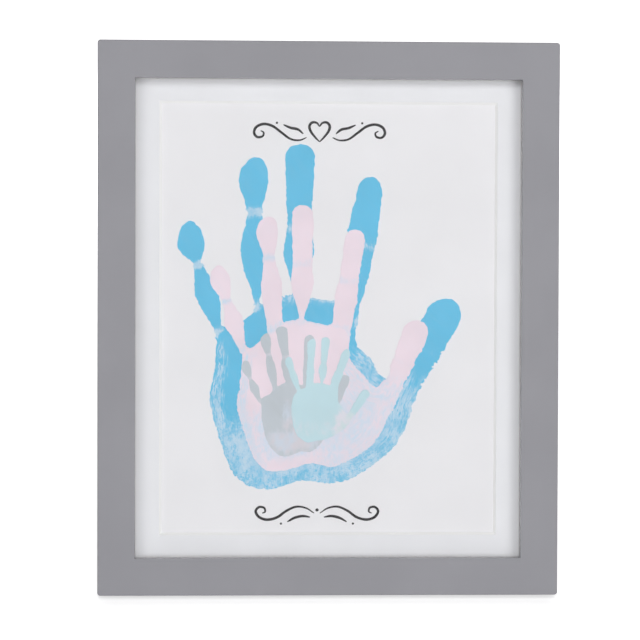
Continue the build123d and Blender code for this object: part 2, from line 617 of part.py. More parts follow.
def easel_leg():
    """A tapered board with an arched foot, cut flat where it meets the table."""
    reach = foot_distance()
    low = HINGE_HEIGHT - reach - LEG_THICKNESS
    spread = (LEG_FOOT_WIDTH - LEG_TOP_WIDTH) / 2
    slope = spread / (LEG_TOP - (HINGE_HEIGHT - reach))
    half_low = LEG_FOOT_WIDTH / 2 + slope * LEG_THICKNESS
    outline = make_face(
        Polyline(
            (-LEG_TOP_WIDTH / 2, LEG_TOP),
            (LEG_TOP_WIDTH / 2, LEG_TOP),
            (half_low, low),
            (-half_low, low),
            close=True,
        )
    )
    outline = fillet(outline.vertices().group_by(Axis.Y)[-1], LEG_TOP_RADIUS)
    arch_radius = (LEG_ARCH_WIDTH**2 / 4 + LEG_ARCH_HEIGHT**2) / (2 * LEG_ARCH_HEIGHT)
    arch_top = HINGE_HEIGHT - reach + LEG_ARCH_HEIGHT
    outline -= Pos(0, arch_top - arch_radius) * Circle(arch_radius)
    board = Pos(0, LEG_FRONT, 0) * extrude(Plane.XZ * outline, -LEG_THICKNESS)
    board = fillet(board.faces().sort_by(Axis.Y)[-1].outer_wire().edges(), LEG_EDGE_RADIUS)
    for z in leg_rivet_heights():
        board -= Pos(0, 0, z) * rod(RIVET_RADIUS + HOLE_CLEARANCE, LEG_FRONT, LEG_THICKNESS)
    return split(opened(board), bisect_by=floor_plane(), keep=Keep.TOP)


# Assembly

def pieces():
    """Every sub-part by its node's name, with the frame upright."""
    made = rails()
    made["corner_v_nails"] = v_nails()
    made["glass_pane"] = slab(STACK_WIDTH, STACK_HEIGHT, GLASS_FRONT, GLASS_THICKNESS)
    made["mat_board"] = mat_board()
    made["print_sheet"] = slab(SHEET_WIDTH, SHEET_HEIGHT, SHEET_FRONT, SHEET_THICKNESS)
    for layer, (name, hand) in enumerate(HANDS.items()):
        made[name] = handprint(hand, layer)
    made["filler_board"] = slab(STACK_WIDTH, STACK_HEIGHT, FILLER_FRONT, FILLER_THICKNESS)
    made["back_panel"] = back_panel()
    for place in button_places():
        made["turn_button_" + place["name"]] = turn_button(place)
    made["turn_button_screws"] = [button_screw(place) for place in button_places()]
    made["sawtooth_hanger"] = sawtooth_hanger()
    made["hanger_nails"] = [hanger_nail(x) for x in nail_places()]
    made["wall_bumpers"] = [wall_bumper(x) for x in bumper_places()]
    made["hinge_panel_leaf"] = hinge_panel_leaf()
    made["hinge_pin"] = hinge_pin()
    made["panel_rivets"] = [panel_rivet(x) for x in panel_rivet_places()]
    made["hinge_leg_leaf"] = hinge_leg_leaf()
    made["leg_rivets"] = [leg_rivet(z) for z in leg_rivet_heights()]
    made["easel_leg"] = easel_leg()
    return made


def solids_of(shape):
    """All the solids of a piece, or of a group of like pieces."""
    group = shape if isinstance(shape, list) else [shape]
    return [solid for one in group for solid in one.solids()]


def stand_up(made):
    """Leans the pieces back, and puts the origin under the middle of their box, on the table."""
    lean = Rot(-LEAN_ANGLE, 0, 0)
    leaned = {name: [lean * solid for solid in solids_of(shape)] for name, shape in made.items()}
    box = Compound([solid for group in leaned.values() for solid in group]).bounding_box()
    to_origin = Pos(0, -(box.min.Y + box.max.Y) / 2, -box.min.Z)
    stood = {name: [to_origin * solid for solid in group] for name, group in leaned.items()}
    return stood, to_origin * lean


def main():
    os.makedirs("parts", exist_ok=True)
    stood, standing = stand_up(pieces())
    for name, group in stood.items():
        node = group[0] if len(group) == 1 else Compound(group)
        export_step(node, f"parts/{name}.step")

    def report(label, y, z, x=0.0):
        point = (standing * Pos(x, y, z)).position
        print(f"{label}: {point.X:.3f} {point.Y:.3f} {point.Z:.3f}")

    report("hinge axis", PIN_Y, HINGE_HEIGHT)
    for place in button_places():
        report("button " + place["name"], BUTTON_FRONT, place["z"], place["x"])
    report("bottom edge", RAIL_DEPTH / 2, 0)
    report("bumper face", RAIL_DEPTH + BUMPER_HEIGHT, RAIL_BACK_WIDTH / 2, bumper_places()[1])
    tooth_height = hanger_middle() - HANGER_HEIGHT / 2 + HANGER_TOOTH_DEPTH
    report("hanger teeth", RAIL_DEPTH + HANGER_RISE, tooth_height)
    out, reach = radians(LEG_OPENING), foot_distance()
    foot_x = (LEG_ARCH_WIDTH + LEG_FOOT_WIDTH) / 4
    middle_y = LEG_FRONT + LEG_THICKNESS / 2 - PIN_Y
    report("foot near", PIN_Y + reach * sin(out) + middle_y, HINGE_HEIGHT - reach * cos(out), foot_x)


if __name__ == "__main__":
    main()
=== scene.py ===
"""Dresses the handprint frame: grey moulding, window mat, painted handprints, glass and back hardware."""
import json
import math

import bpy
import numpy as np
from bpy.props import FloatProperty, FloatVectorProperty, PointerProperty
from mathutils import Matrix, Vector, noise


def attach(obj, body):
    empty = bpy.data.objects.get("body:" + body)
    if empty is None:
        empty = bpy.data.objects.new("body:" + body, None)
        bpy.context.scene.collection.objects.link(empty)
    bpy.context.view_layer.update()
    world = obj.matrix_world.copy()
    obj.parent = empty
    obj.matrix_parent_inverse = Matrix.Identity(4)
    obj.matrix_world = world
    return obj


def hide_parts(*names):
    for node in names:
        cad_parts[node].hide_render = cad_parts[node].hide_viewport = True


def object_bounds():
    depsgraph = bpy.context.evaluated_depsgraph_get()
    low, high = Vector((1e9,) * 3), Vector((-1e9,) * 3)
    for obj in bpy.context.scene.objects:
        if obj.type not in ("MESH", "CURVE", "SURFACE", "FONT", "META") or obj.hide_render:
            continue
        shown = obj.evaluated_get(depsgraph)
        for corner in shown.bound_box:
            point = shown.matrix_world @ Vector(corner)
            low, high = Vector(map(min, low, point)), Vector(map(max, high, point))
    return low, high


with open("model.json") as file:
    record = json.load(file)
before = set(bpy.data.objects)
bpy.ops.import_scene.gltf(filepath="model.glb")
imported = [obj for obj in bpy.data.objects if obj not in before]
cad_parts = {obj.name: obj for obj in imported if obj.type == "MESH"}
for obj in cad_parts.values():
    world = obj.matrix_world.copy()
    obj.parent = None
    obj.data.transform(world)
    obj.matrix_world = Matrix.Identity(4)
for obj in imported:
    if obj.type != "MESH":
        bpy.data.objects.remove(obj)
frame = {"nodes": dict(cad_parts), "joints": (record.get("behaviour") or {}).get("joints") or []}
solid_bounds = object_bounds()

bl_info = {
    "name": "Handprint frame",
    "version": (1, 0, 0),
    "blender": (4, 5, 0),
    "location": "3D View > Sidebar > Handprint frame",
    "description": "Finishes a picture frame with four painted handprints behind its window mat",
    "category": "Object",
}

MM = 0.001
WHITE = (1.0, 1.0, 1.0)
RAILS = ("top_rail", "bottom_rail", "left_rail", "right_rail")
BUTTONS = tuple(name for name in frame["nodes"] if name.startswith("turn_button_") and "screws" not in name)
HINGE = ("hinge_panel_leaf", "hinge_leg_leaf", "hinge_pin", "panel_rivets", "leg_rivets")

# Directions of the leaning frame, read from the pivots of its turn buttons
BACK = Vector(next(j["axis"] for j in frame["joints"] if j["name"].startswith("button_turn"))).normalized()
RIGHT = Vector((1.0, 0.0, 0.0))
UP = RIGHT.cross(BACK)
LEAN = math.atan2(-BACK.z, BACK.y)
AXES = np.array([RIGHT, BACK, UP])


def upright(*nodes):
    """Lowest and highest place of the nodes, measured across, back and up the leaning frame."""
    places = [np.array([v.co for v in frame["nodes"][name].data.vertices]) for name in nodes]
    along = np.concatenate(places) @ AXES.T
    return along.min(0), along.max(0)


def front_middle(*nodes):
    """Middle of the nodes' front, across, back and up the leaning frame."""
    low, high = upright(*nodes)
    return Vector(((low[0] + high[0]) / 2, low[1], (low[2] + high[2]) / 2))


def in_place(across, back, up):
    """Point or points given across, back and up the leaning frame, as places in the shared frame."""
    return np.stack([across, back, up], -1) @ AXES


def towards(side, rise, front, up):
    """Direction at one angle to the right of the front and one above it."""
    return (RIGHT * math.sin(side) + front * math.cos(side)) * math.cos(rise) + up * math.sin(rise)


FACE_MIDDLE = front_middle(*RAILS)
SHEET_MIDDLE = front_middle("print_sheet")
SHEET_PLACE = np.array((SHEET_MIDDLE.x, SHEET_MIDDLE.z))
OUTER_LOW, OUTER_HIGH = upright(*RAILS)
HALF_WIDTH, _, HALF_HEIGHT = (OUTER_HIGH - OUTER_LOW) / 2

# Sizes that all hands share: length of the largest print, and the rest in shares of a hand's own length
LARGEST_PRINT = 190 * MM
PALM_MIDDLE = (0.02, 0.28)
PALM_RADIUS = 0.3
FINGER_FILLET = 0.02
CREASE_LENGTH = 0.036
HOLLOW_MIDDLE = (-0.012, 0.31)
HOLLOW_SPREAD = (0.05, 0.12)
OUTER_DEPTH = 0.018
OUTER_SPREAD = 0.020

# Points of a palm's curve from one given point to the next
PALM_STEPS = 8

# Each finger's rounded end and its lean to the right in half widths, where its lower pad is widest on the
# way to the top joint, how dry its top crease is and how ragged its sides are, all three from 0 to 1
FINGERS = {
    "little": {"end": 1.6, "lean": 0.3, "pad": 0.58, "crease": 1.0, "ragged": 0.30},
    "ring": {"end": 1.5, "lean": 0.28, "pad": 0.6, "crease": 1.0, "ragged": 0.30},
    "middle": {"end": 0.85, "lean": 0.0, "pad": 0.7, "crease": 1.0, "ragged": 0.30},
    "index": {"end": 1.3, "lean": 0.0, "pad": 0.78, "crease": 1.0, "ragged": 0.30},
    "thumb": {"end": 1.15, "lean": 0.12, "pad": 0.55, "crease": 0.3, "ragged": 0.85},
}

# The four prints from the sheet upwards: size and heel in shares of the largest print, turn in degrees, the
# palm's outline from the little finger down round the heel, in thousandths of the hand, the grid's cell in
# millimetres, the paint's tone and how softly it thins out, how dry each part is from 0 to 1 (creases, heel
# and what share of it reaches the rim, thumb's web, outer side, hollow, corner by the thumb), and for each
# finger its root and tip in thousandths, half width, shares of that width at root, lower pad and top joint,
# and that joint's place
HANDS = {
    "large_handprint": {
        "size": 1.0, "heel": (-0.08, -0.495), "turn": 0.0,
        "palm": (
            (-238, 452), (-250, 350), (-263, 250), (-222, 100), (-175, 22),
            (-95, -3), (5, 22), (100, 15), (185, 50), (275, 125), (314, 222),
            (262, 304), (226, 338), (207, 374), (180, 399), (163, 417), (158, 460),
            (156, 530), (62, 550), (-62, 560), (-170, 488),
        ),
        "cell": 0.58, "tone": "blue", "soft": 0.36,
        "dry": {"crease": 1.0, "heel": 0.74, "rim": 0.66, "web": 0.54, "outer": 0.44},
        "fingers": {
            "little": ((-238, 452), (-338, 773), 0.0395, (0.28, 0.84, 0.33), 0.622),
            "ring": ((-128, 520), (-141, 964), 0.0425, (0.15, 1.0, 0.53), 0.64),
            "middle": ((-8, 540), (-4, 1003), 0.0425, (0.20, 1.02, 0.82), 0.47),
            "index": ((136, 484), (207, 908), 0.038, (0.62, 1.03, 1.16), 0.53),
            "thumb": ((275, 240), (441, 550), 0.0515, (0.88, 0.78, 0.93), 0.54),
        },
    },
    "medium_handprint": {
        "size": 0.745, "heel": (-0.073, -0.42), "turn": 0.5,
        "palm": (
            (-236, 440), (-249, 320), (-259, 220), (-226, 100), (-178, -5), (-100, -37),
            (30, -4), (116, -14), (206, 24), (280, 84), (328, 175), (346, 270),
            (321, 324), (281, 299), (226, 352), (178, 412), (166, 520), (60, 545),
            (-60, 556), (-135, 503), (-172, 477), (-208.5, 447),
        ),
        "cell": 0.55, "tone": "pink", "soft": 0.62,
        "dry": {"crease": 0.75, "heel": 0.62, "rim": 0.24, "web": 0.44, "outer": 0.50},
        "fingers": {
            "little": ((-240, 440), (-351, 764), 0.0385, (0.35, 0.95, 0.42), 0.58),
            "ring": ((-117, 520), (-156, 962), 0.043, (0.70, 0.94, 0.50), 0.635),
            "middle": ((-10, 545), (-12, 1007), 0.042, (0.20, 1.04, 0.92), 0.51),
            "index": ((143, 510), (199, 916), 0.0395, (0.90, 1.12, 0.95), 0.5),
            "thumb": ((323, 230), (454, 561), 0.0505, (0.66, 0.68, 0.83), 0.5),
        },
    },
    "small_handprint": {
        "size": 0.375, "heel": (-0.11, -0.4), "turn": -2.0,
        "palm": (
            (-205, 445), (-211, 350), (-208, 250), (-176, 120), (-118, 33),
            (-35, -7), (70, 26), (170, 30), (245, 95), (270, 200), (226, 290),
            (150, 390), (130, 530), (50, 555), (-40, 562), (-144, 488),
        ),
        "cell": 0.34, "tone": "grey", "soft": 0.5,
        "dry": {"crease": 0.6, "heel": 0.95, "rim": 0.45, "outer": 0.12, "hollow": 0.72},
        "fingers": {
            "little": ((-222, 430), (-340, 745), 0.038, (0.28, 0.90, 0.36), 0.58),
            "ring": ((-98, 510), (-172, 956), 0.042, (0.42, 0.86, 0.46), 0.63),
            "middle": ((12, 530), (-38, 1007), 0.044, (0.50, 0.92, 0.62), 0.5),
            "index": ((143, 520), (183, 937), 0.041, (0.72, 0.92, 0.80), 0.5),
            "thumb": ((250, 140), (456, 616), 0.04, (0.50, 0.62, 0.92), 0.62),
        },
    },
    "baby_handprint": {
        "size": 0.305, "heel": (-0.035, -0.36), "turn": 7.0,
        "palm": (
            (-250, 450), (-272, 360), (-268, 250), (-210, 80), (-115, -8), (0, 8),
            (90, 40), (190, 100), (265, 180), (285, 250), (240, 320), (165, 410),
            (140, 530), (60, 555), (-60, 560), (-165, 500),
        ),
        "cell": 0.3, "tone": "mint", "soft": 0.6,
        "dry": {"crease": 0.3, "heel": 0.22, "rim": 0.20, "web": 0.2, "outer": 0.15, "corner": 0.95},
        "fingers": {
            "little": ((-232, 480), (-377, 770), 0.0375, (0.55, 0.90, 0.76), 0.6),
            "ring": ((-127, 505), (-163, 977), 0.040, (0.90, 0.92, 0.80), 0.5),
            "middle": ((-16, 535), (-30, 1004), 0.0405, (0.14, 1.0, 0.68), 0.49),
            "index": ((96, 515), (189, 915), 0.039, (0.90, 1.10, 0.90), 0.5),
            "thumb": ((250, 200), (428, 553), 0.042, (0.55, 0.70, 0.92), 0.6),
        },
    },
}
DRY_NOWHERE = {"web": 0.0, "hollow": 0.0, "corner": 0.0}

# Where each zone of a hand fades in, from one place to another, in shares of the hand's or finger's length
FADES = {
    "palm_seam": (-0.012, 0.004), "finger_seam": (-0.012, 0.0), "side_seam": (-0.02, 0.0),
    "finger_root": (0.13, -0.01), "ragged_tip": (0.80, 0.66), "ragged_root": (0.1, 0.25),
    "top": (0.515, 0.56), "fringe": (0.011, 0.002), "fringe_height": (0.50, 0.54),
    "heel": (0.26, 0.12), "heel_rim": (0.012, 0.07),
    "corner_side": (0.09, 0.23), "corner_height": (0.30, 0.16), "corner_thumb": (0.45, 0.22),
    "web_side": (0.0, 0.07), "web_height": (0.52, 0.40), "web_thumb": (0.5, 0.12),
    "outer_side": (-0.10, -0.2), "outer_height": (0.47, 0.38),
    "outer_rim": (0.06, 0.02), "outer_foot": (0.34, 0.24),
    "right_side": (0.10, 0.22), "streaks_height": (0.08, 0.24),
}

# Waves of a print's edge, as height and length in millimetres and a seed: all round it and where it is torn
EDGE_WAVER = ((0.55, 7.0, 0.0), (0.46, 2.4, 5.0))
EDGE_TEARS = ((1.2, 2.2, 9.0), (1.25, 1.0, 13.0))

# How near the edge the waves act, how far a print's grid reaches past its solid, and the prints' own seeds
EDGE_REACH = 4 * MM
GRID_SPARE = 9 * MM
FIRST_SEED = 11.0
SEED_STEP = 7.0

# How dry the paint is at most at the finger roots, over the palm's top, along its fringe and at its foot
ROOT_DRY = 0.7
TOP_DRY = 0.5
FRINGE_DRY = 0.6
FOOT_DRY = 0.4

# Tilt of zones of the palm, and how far streaks win over mottling on its right and hold there low down
HEEL_TILT = 0.6
CORNER_TILT = 0.5
WEB_TILT = 0.3
STREAKS_RIGHT = 0.8
STREAKS_LOW = 0.7

# A film's thickness in shares of the full one: at the rim, gained inside, in the bead, lost where dry, least
FILM_RIM = 0.30
FILM_GAIN = 0.45
FILM_BEAD = 0.25
FILM_LOSS = 0.30
FILM_LEAST = 0.12

# The film's rise from its rim and the place and width of its bead in millimetres, and its sharp edges' angle
RISE_LENGTH = 0.5
BEAD_PLACE = 0.55
BEAD_WIDTH = 0.4
FILM_CREASE = math.radians(50)


def maths(operation, swapped=False):
    """A method that adds a Math node, with the value after the others if they are swapped."""
    def method(self, *others):
        values = (*others, self) if swapped else (self, *others)
        return self.finish.node("Math", dict(enumerate(values)), operation=operation)
    return method


class Flow:
    """A value on its way through a material. Arithmetic on it adds Math nodes."""

    __add__ = __radd__ = maths("ADD")
    __sub__ = maths("SUBTRACT")
    __rsub__ = maths("SUBTRACT", swapped=True)
    __mul__ = __rmul__ = maths("MULTIPLY")
    __pow__ = maths("POWER")
    __abs__ = maths("ABSOLUTE")
    above = maths("MAXIMUM")
    wave = maths("SINE")

    def __init__(self, finish, socket):
        self.finish = finish
        self.socket = socket

    def swing(self, amount):
        """A noise's swing to both sides of its middle, amount from end to end."""
        return (self - 0.5) * amount

    def step(self, low, high):
        """Smooth rise from 0 at low to 1 at high."""
        sockets = {"Value": self, "From Min": low, "From Max": high}
        return self.finish.node("MapRange", sockets, interpolation_type="SMOOTHSTEP")

    def mix(self, first, second):
        """Colour that goes from the first to the second as this value goes from 0 to 1."""
        return self.finish.node("Mix", {0: self, 6: first, 7: second}, 2, data_type="RGBA")

    def mottle(self, colour, first, second, low=0.3, high=0.7):
        """Colour that goes from first to second times its strength as this noise goes from low to high."""
        return self.step(low, high).mix(rgba(colour, first), rgba(colour, second))


class Finish:
    """Nodes of a material or a world under construction."""

    def __init__(self, owner):
        owner.use_nodes = True
        self.owner = owner
        self.tree = owner.node_tree
        self.surface = self.tree.nodes.get("Principled BSDF")
        self.here = None

    def node(self, kind, sockets=None, output=0, **settings):
        made = self.tree.nodes.new("ShaderNode" + kind)
        for key, value in settings.items():
            setattr(made, key, value)
        for key, value in (sockets or {}).items():
            self.feed(made.inputs[key], value)
        return Flow(self, made.outputs[output])

    def feed(self, socket, value):
        if isinstance(value, Flow):
            self.tree.links.new(value.socket, socket)
        else:
            socket.default_value = value

    def surfaces(self, **values):
        """Sets the Principled shader's sockets, words joined by underscores."""
        for key, value in values.items():
            self.feed(self.surface.inputs[key.replace("_", " ").title().replace("Ior", "IOR")], value)

    def places(self, stretch=None, turn=0.0):
        """Object coordinates turned upright, from the sheet's middle, then turned and scaled if asked."""
        leaning = self.node("TexCoord", output="Object")
        sockets = {"Vector": leaning, "Rotation": (LEAN, 0, 0), "Location": tuple(-SHEET_MIDDLE)}
        flat = self.node("Mapping", sockets)
        if stretch is None:
            return flat
        turned = self.node("Mapping", {"Vector": flat, "Rotation": (0, turn, 0)})
        return self.node("Mapping", {"Vector": turned, "Scale": stretch})

    def parts(self):
        """Upright places as three numbers: across, back and up."""
        split = self.node("SeparateXYZ", {"Vector": self.here})
        return [Flow(self, output) for output in split.socket.node.outputs]

    def facing(self, direction):
        """How far the surface faces a direction of its own body, from -1 to 1."""
        normal = self.node("TexCoord", output="Normal")
        return self.node("VectorMath", {0: normal, 1: tuple(direction)}, "Value", operation="DOT_PRODUCT")

    def grain(self, size, detail=2.0, rough=0.5, distortion=0.0, places=None):
        """Noise whose features are about size across, in millimetres."""
        sockets = {"Vector": places or self.here, "Scale": 1 / (size * MM)}
        sockets.update({"Detail": detail, "Roughness": rough, "Distortion": distortion})
        return self.node("TexNoise", sockets)

    def attribute(self, name, output="Fac"):
        return self.node("Attribute", None, output, attribute_name=name)

    def done(self, colour, roughness, height, depth, mirror):
        """Joins colour, roughness, a relief whose full height is depth, in millimetres, and mirror level."""
        relief = self.node("Bump", {"Height": height, "Strength": 1.0, "Distance": depth * MM})
        self.surfaces(base_color=colour, roughness=roughness, specular_ior_level=mirror, normal=relief)
        return self


def new_finish(name):
    finish = Finish(bpy.data.materials.new(name))
    finish.here = finish.places()
    return finish


def rgba(colour, times=1.0):
    return tuple(c * times for c in colour) + (1.0,)


def dress(finish, *nodes):
    """Gives CAD nodes their finish."""
    for name in nodes:
        node = frame["nodes"][name]
        if not node.material_slots:
            node.data.materials.append(finish.owner)
        for slot in node.material_slots:
            slot.material = finish.owner


def coat(piece, finish):
    piece.data.materials.clear()
    piece.data.materials.append(finish.owner)


def tint(name, description, *colour):
    options = {"subtype": "COLOR", "size": 3, "min": 0, "max": 1}
    return FloatVectorProperty(name=name, description=description, default=colour, **options)


def number(name, description, default, **options):
    return FloatProperty(name=name, description=description, default=default, **options)


def angle(name, description, degrees):
    return number(name, description, math.radians(degrees), subtype="ANGLE")


def length(name, description, default, **limits):
    return number(name, description, default, unit="LENGTH", precision=5, **limits)


def power(name, description, watts):
    return number(name, description, watts, unit="POWER")


def share(name, description, default):
    return number(name, description, default, subtype="FACTOR", min=0, max=1)


class FrameFinishes(bpy.types.PropertyGroup):
    """Colours of the frame, its boards and its hardware."""

    paint: tint("Paint", "Satin grey of the moulding", 0.282, 0.280, 0.303)
    primer: tint("Primer", "Paler grey rubbed through at the edges", 0.36, 0.36, 0.385)
    fibreboard: tint("Fibreboard", "Bare back of the moulding and cut edges", 0.30, 0.195, 0.115)
    mat: tint("Mat", "Face paper of the window mat", 0.825, 0.815, 0.85)
    core: tint("Mat core", "Cut bevel of the window mat", 0.90, 0.885, 0.89)
    paper: tint("Paper", "Sheet that carries the prints", 0.845, 0.825, 0.855)
    board: tint("Black board", "Paper on the back panel and the leg", 0.016, 0.016, 0.018)
    scuff: tint("Scuffs", "Pale rubbed lines on the black board", 0.16, 0.155, 0.15)
    cardboard: tint("Cardboard", "Filler behind the sheet", 0.42, 0.29, 0.17)
    zinc: tint("Zinc", "Plated steel of the hardware", 0.53, 0.54, 0.56)
    rubber: tint("Rubber", "Wall bumpers", 0.032, 0.032, 0.034)
    glass: tint("Glass", "Tint of the light that passes the pane", 0.992, 0.997, 0.994)
    gloss: share("Glass reflection", "Share of light mirrored head on", 0.012)
    glare: share("Glass glare", "Share of light mirrored at a flat angle", 0.7)


class PrintColours(bpy.types.PropertyGroup):
    """Colours and thickness of the four painted hands and the pen strokes."""

    blue: tint("Large hand", "Where its paint is full", 0.122, 0.500, 0.75)
    pink: tint("Medium hand", "Where its paint is full", 0.845, 0.705, 0.785)
    grey: tint("Small hand", "Where its paint is full", 0.525, 0.56, 0.61)
    mint: tint("Baby hand", "Where its paint is full", 0.53, 0.71, 0.775)
    thin_blue: tint("Large hand, thin", "Where little paint was left", 0.37, 0.61, 0.80)
    thin_pink: tint("Medium hand, thin", "Where the large hand shows through", 0.67, 0.72, 0.83)
    thin_grey: tint("Small hand, thin", "Where the medium hand shows through", 0.63, 0.68, 0.78)
    thin_mint: tint("Baby hand, thin", "Where little paint was left", 0.62, 0.72, 0.75)
    wash_blue: tint("Large hand, washed", "Where almost no paint was left", 0.58, 0.71, 0.84)
    wash_pink: tint("Medium hand, washed", "Where the large hand shows through most", 0.59, 0.72, 0.85)
    wash_grey: tint("Small hand, washed", "Where the medium hand shows through most", 0.68, 0.64, 0.70)
    wash_mint: tint("Baby hand, washed", "Where the medium hand shows through", 0.76, 0.72, 0.80)
    ink: tint("Ink", "Pen strokes above and below the hands", 0.010, 0.008, 0.010)
    film: length("Paint film", "Thickness of one print", 0.00012, min=0.00005, max=0.0002)
    pen: length("Pen width", "Width of a full pen stroke", 0.0015, min=0.0003, max=0.003)


class StudioSettings(bpy.types.PropertyGroup):
    """Camera, lamps and room."""

    distance: length("Camera distance", "From the middle of the frame's face", 1.1)
    side: angle("Side angle", "Camera to the left of square on", 2.426)
    rise: angle("Rise angle", "Camera above square on", 1.1325)
    roll: angle("Roll", "Camera turned about its line of sight", 0.7372)
    lens: number("Lens", "Focal length in millimetres", 112.5, unit="CAMERA")
    aim_across: length("Aim across", "From the middle of the face to the right", -0.00495)
    aim_up: length("Aim up", "From the middle of the face upwards", -0.00056)
    left_power: power("Left lamp", "Power of the left lamp", 16.9)
    right_power: power("Right lamp", "Power of the right lamp", 27.5)
    top_power: power("Top lamp", "Power of the lamp above", 345.0)
    back_power: power("Back lamps", "Power of each lamp behind", 7.5)
    shade: tint("Shade", "Tint of the light that fills the shadows", 0.975, 0.965, 1.0)
    ambient: share("Ambient", "Light of the white room on the object", 0.06)
    floor: tint("Floor", "Pale floor that takes the shadow", 0.90, 0.90, 0.90)
    floor_glow: share("Floor glow", "Brightness added near the object", 0.55)


def rail_paint(tone):
    """Satin paint over fibreboard, glossier inside the window and bare at the back apart from overspray."""
    finish = new_finish("satin_grey_paint")
    across, _, up = finish.parts()
    peel = finish.grain(1.1)
    speck = finish.grain(0.35, 1.0)
    rub = finish.grain(9, 4.0, 0.62)
    fibre = finish.grain(1.2, 3.0, 0.65, places=finish.places((1.0, 1.0, 0.35)))
    spread = finish.grain(4, 4.0, 0.6)
    square = abs(finish.facing(RIGHT)).above(abs(finish.facing(BACK))).above(abs(finish.facing(UP)))
    rounded = 1 - square.step(0.80, 0.985)
    worn = rounded * rub.step(0.53, 0.66)
    paint = finish.grain(55, 3.0).mottle(tone.paint, 0.97, 1.03)
    paint = (worn * 0.55).mix(paint, rgba(tone.primer))
    bare = fibre.mottle(tone.fibreboard, 0.78, 1.18, 0.32, 0.68)
    margin = (abs(across) * (1 / HALF_WIDTH)).above(abs(up) * (1 / HALF_HEIGHT))
    overspray = (margin + spread.swing(0.05)).step(0.965, 0.998)
    behind = finish.facing(BACK).step(0.75, 0.95) * (1 - overspray * 0.9)
    lip = (1 - abs(finish.facing(BACK)).step(0.6, 0.9)) * (1 - margin.step(0.90, 0.97))
    shine = 0.64 - lip * 0.44 + peel.swing(0.10) + worn * 0.08 + behind * 0.22
    relief = peel * 0.7 + speck * 0.3 + behind * fibre * 1.6
    return finish.done(behind.mix(paint, bare), shine, relief, depth=0.03, mirror=0.45)


def mat_board_finish(tone):
    """Smooth white facing paper with a fine tooth, and a cream core where the window is cut."""
    finish = new_finish("mat_board_paper")
    tooth = finish.grain(0.6, 3.0, 0.6)
    ply = finish.grain(0.9, places=finish.places((1.0, 8.0, 1.0)))
    cut = 1 - abs(finish.facing(BACK)).step(0.75, 0.95)
    face = finish.grain(30).mottle(tone.mat, 0.985, 1.01)
    core = ply.mottle(tone.core, 0.96, 1.02)
    colour = cut.mix(face, core)
    return finish.done(colour, 0.82 + tooth.swing(0.1), tooth + cut * ply, depth=0.02, mirror=0.2)


def sheet_paper(tone):
    """Heavy uncoated paper with a soft felt texture."""
    finish = new_finish("sheet_paper")
    felt = finish.grain(1.4, 4.0, 0.6)
    fibre = finish.grain(0.7, places=finish.places((1.0, 1.0, 0.4), 0.5))
    colour = finish.grain(40, 3.0).mottle(tone.paper, 0.985, 1.01)
    colour = (fibre.step(0.62, 0.80) * 0.12).mix(colour, rgba(tone.paper, 0.93))
    return finish.done(colour, 0.86 + felt.swing(0.08), felt * 0.7 + fibre * 0.3, depth=0.035, mirror=0.18)


def hand_paint(name, full, thin, wash, soft):
    """Poster paint pressed off a hand: full on the pads, streaked and mottled where it ran dry."""
    finish = new_finish(name)
    dry = finish.attribute("dry")
    lined = finish.attribute("streaky")
    stroke = finish.attribute("stroke", "Vector")
    stretched = finish.node("Mapping", {"Vector": stroke, "Scale": (1.0, 0.11, 1.0)})
    streak = finish.grain(0.8, 3.0, 0.6, places=stretched)
    speck = finish.grain(0.9, 3.0, 0.7)
    sponge = finish.grain(2.8, 6.0, 0.76, 0.3)
    drag = finish.grain(0.9, 3.0, 0.62, places=finish.places((1.0, 1.0, 0.26)))
    haze = finish.grain(11, 3.0, 0.55)
    brush = finish.grain(1.6, places=finish.places((1.0, 1.0, 0.10), 0.72))
    spotted = sponge * 0.38 + speck * 0.22 + drag * 0.28 + haze * 0.12
    uneven = spotted.swing(3.9 - lined * 2.6) + streak.swing(lined * 3.0)
    bare = (dry * 1.3 - 0.60 + uneven).step(-soft, soft) * dry.step(0.03, 0.22)
    tone = finish.grain(22, 3.0).mottle(full, 0.97, 1.03)
    tone = (brush.step(0.42, 0.72) * 0.10).mix(tone, rgba(thin))
    washed = (sponge * 0.4 + haze * 0.6).step(0.40, 0.60).mix(rgba(thin), rgba(wash))
    shine = 0.58 + bare * 0.24 + sponge.swing(0.1)
    relief = streak * 0.4 + brush * 0.35 + speck * 0.25
    return finish.done((bare * 0.92).mix(tone, washed), shine, relief, depth=0.05, mirror=0.3)


def pen_ink(colour):
    """Drawing ink, a touch paler where the pen moved fast."""
    finish = new_finish("drawing_ink")
    grain = finish.grain(0.5)
    shade = finish.grain(4.5, 3.0).mottle(colour, 1.0, 2.2, 0.35, 0.75)
    return finish.done(shade, 0.5 + grain.swing(0.2), grain, depth=0.01, mirror=0.25)


def clear_glass(tone):
    """Clear glazing: light passes straight through, and a faint mirror grows towards the edges of sight."""
    finish = new_finish("clear_glass")
    smear = finish.grain(30, 3.0, 0.6)
    turned = finish.node("LayerWeight", {"Blend": 0.5}, "Facing")
    mirrored = tone.gloss + (turned ** 5.0) * (tone.glare - tone.gloss)
    clear = finish.node("BsdfTransparent", {"Color": rgba(tone.glass)})
    sockets = {"Color": rgba(WHITE), "Roughness": 0.02 + smear.step(0.5, 0.8) * 0.05}
    mirror = finish.node("BsdfAnisotropic", sockets)
    mixed = finish.node("MixShader", {0: mirrored, 1: clear, 2: mirror})
    finish.tree.links.new(mixed.socket, finish.tree.nodes["Material Output"].inputs["Surface"])
    finish.tree.nodes.remove(finish.surface)
    return finish


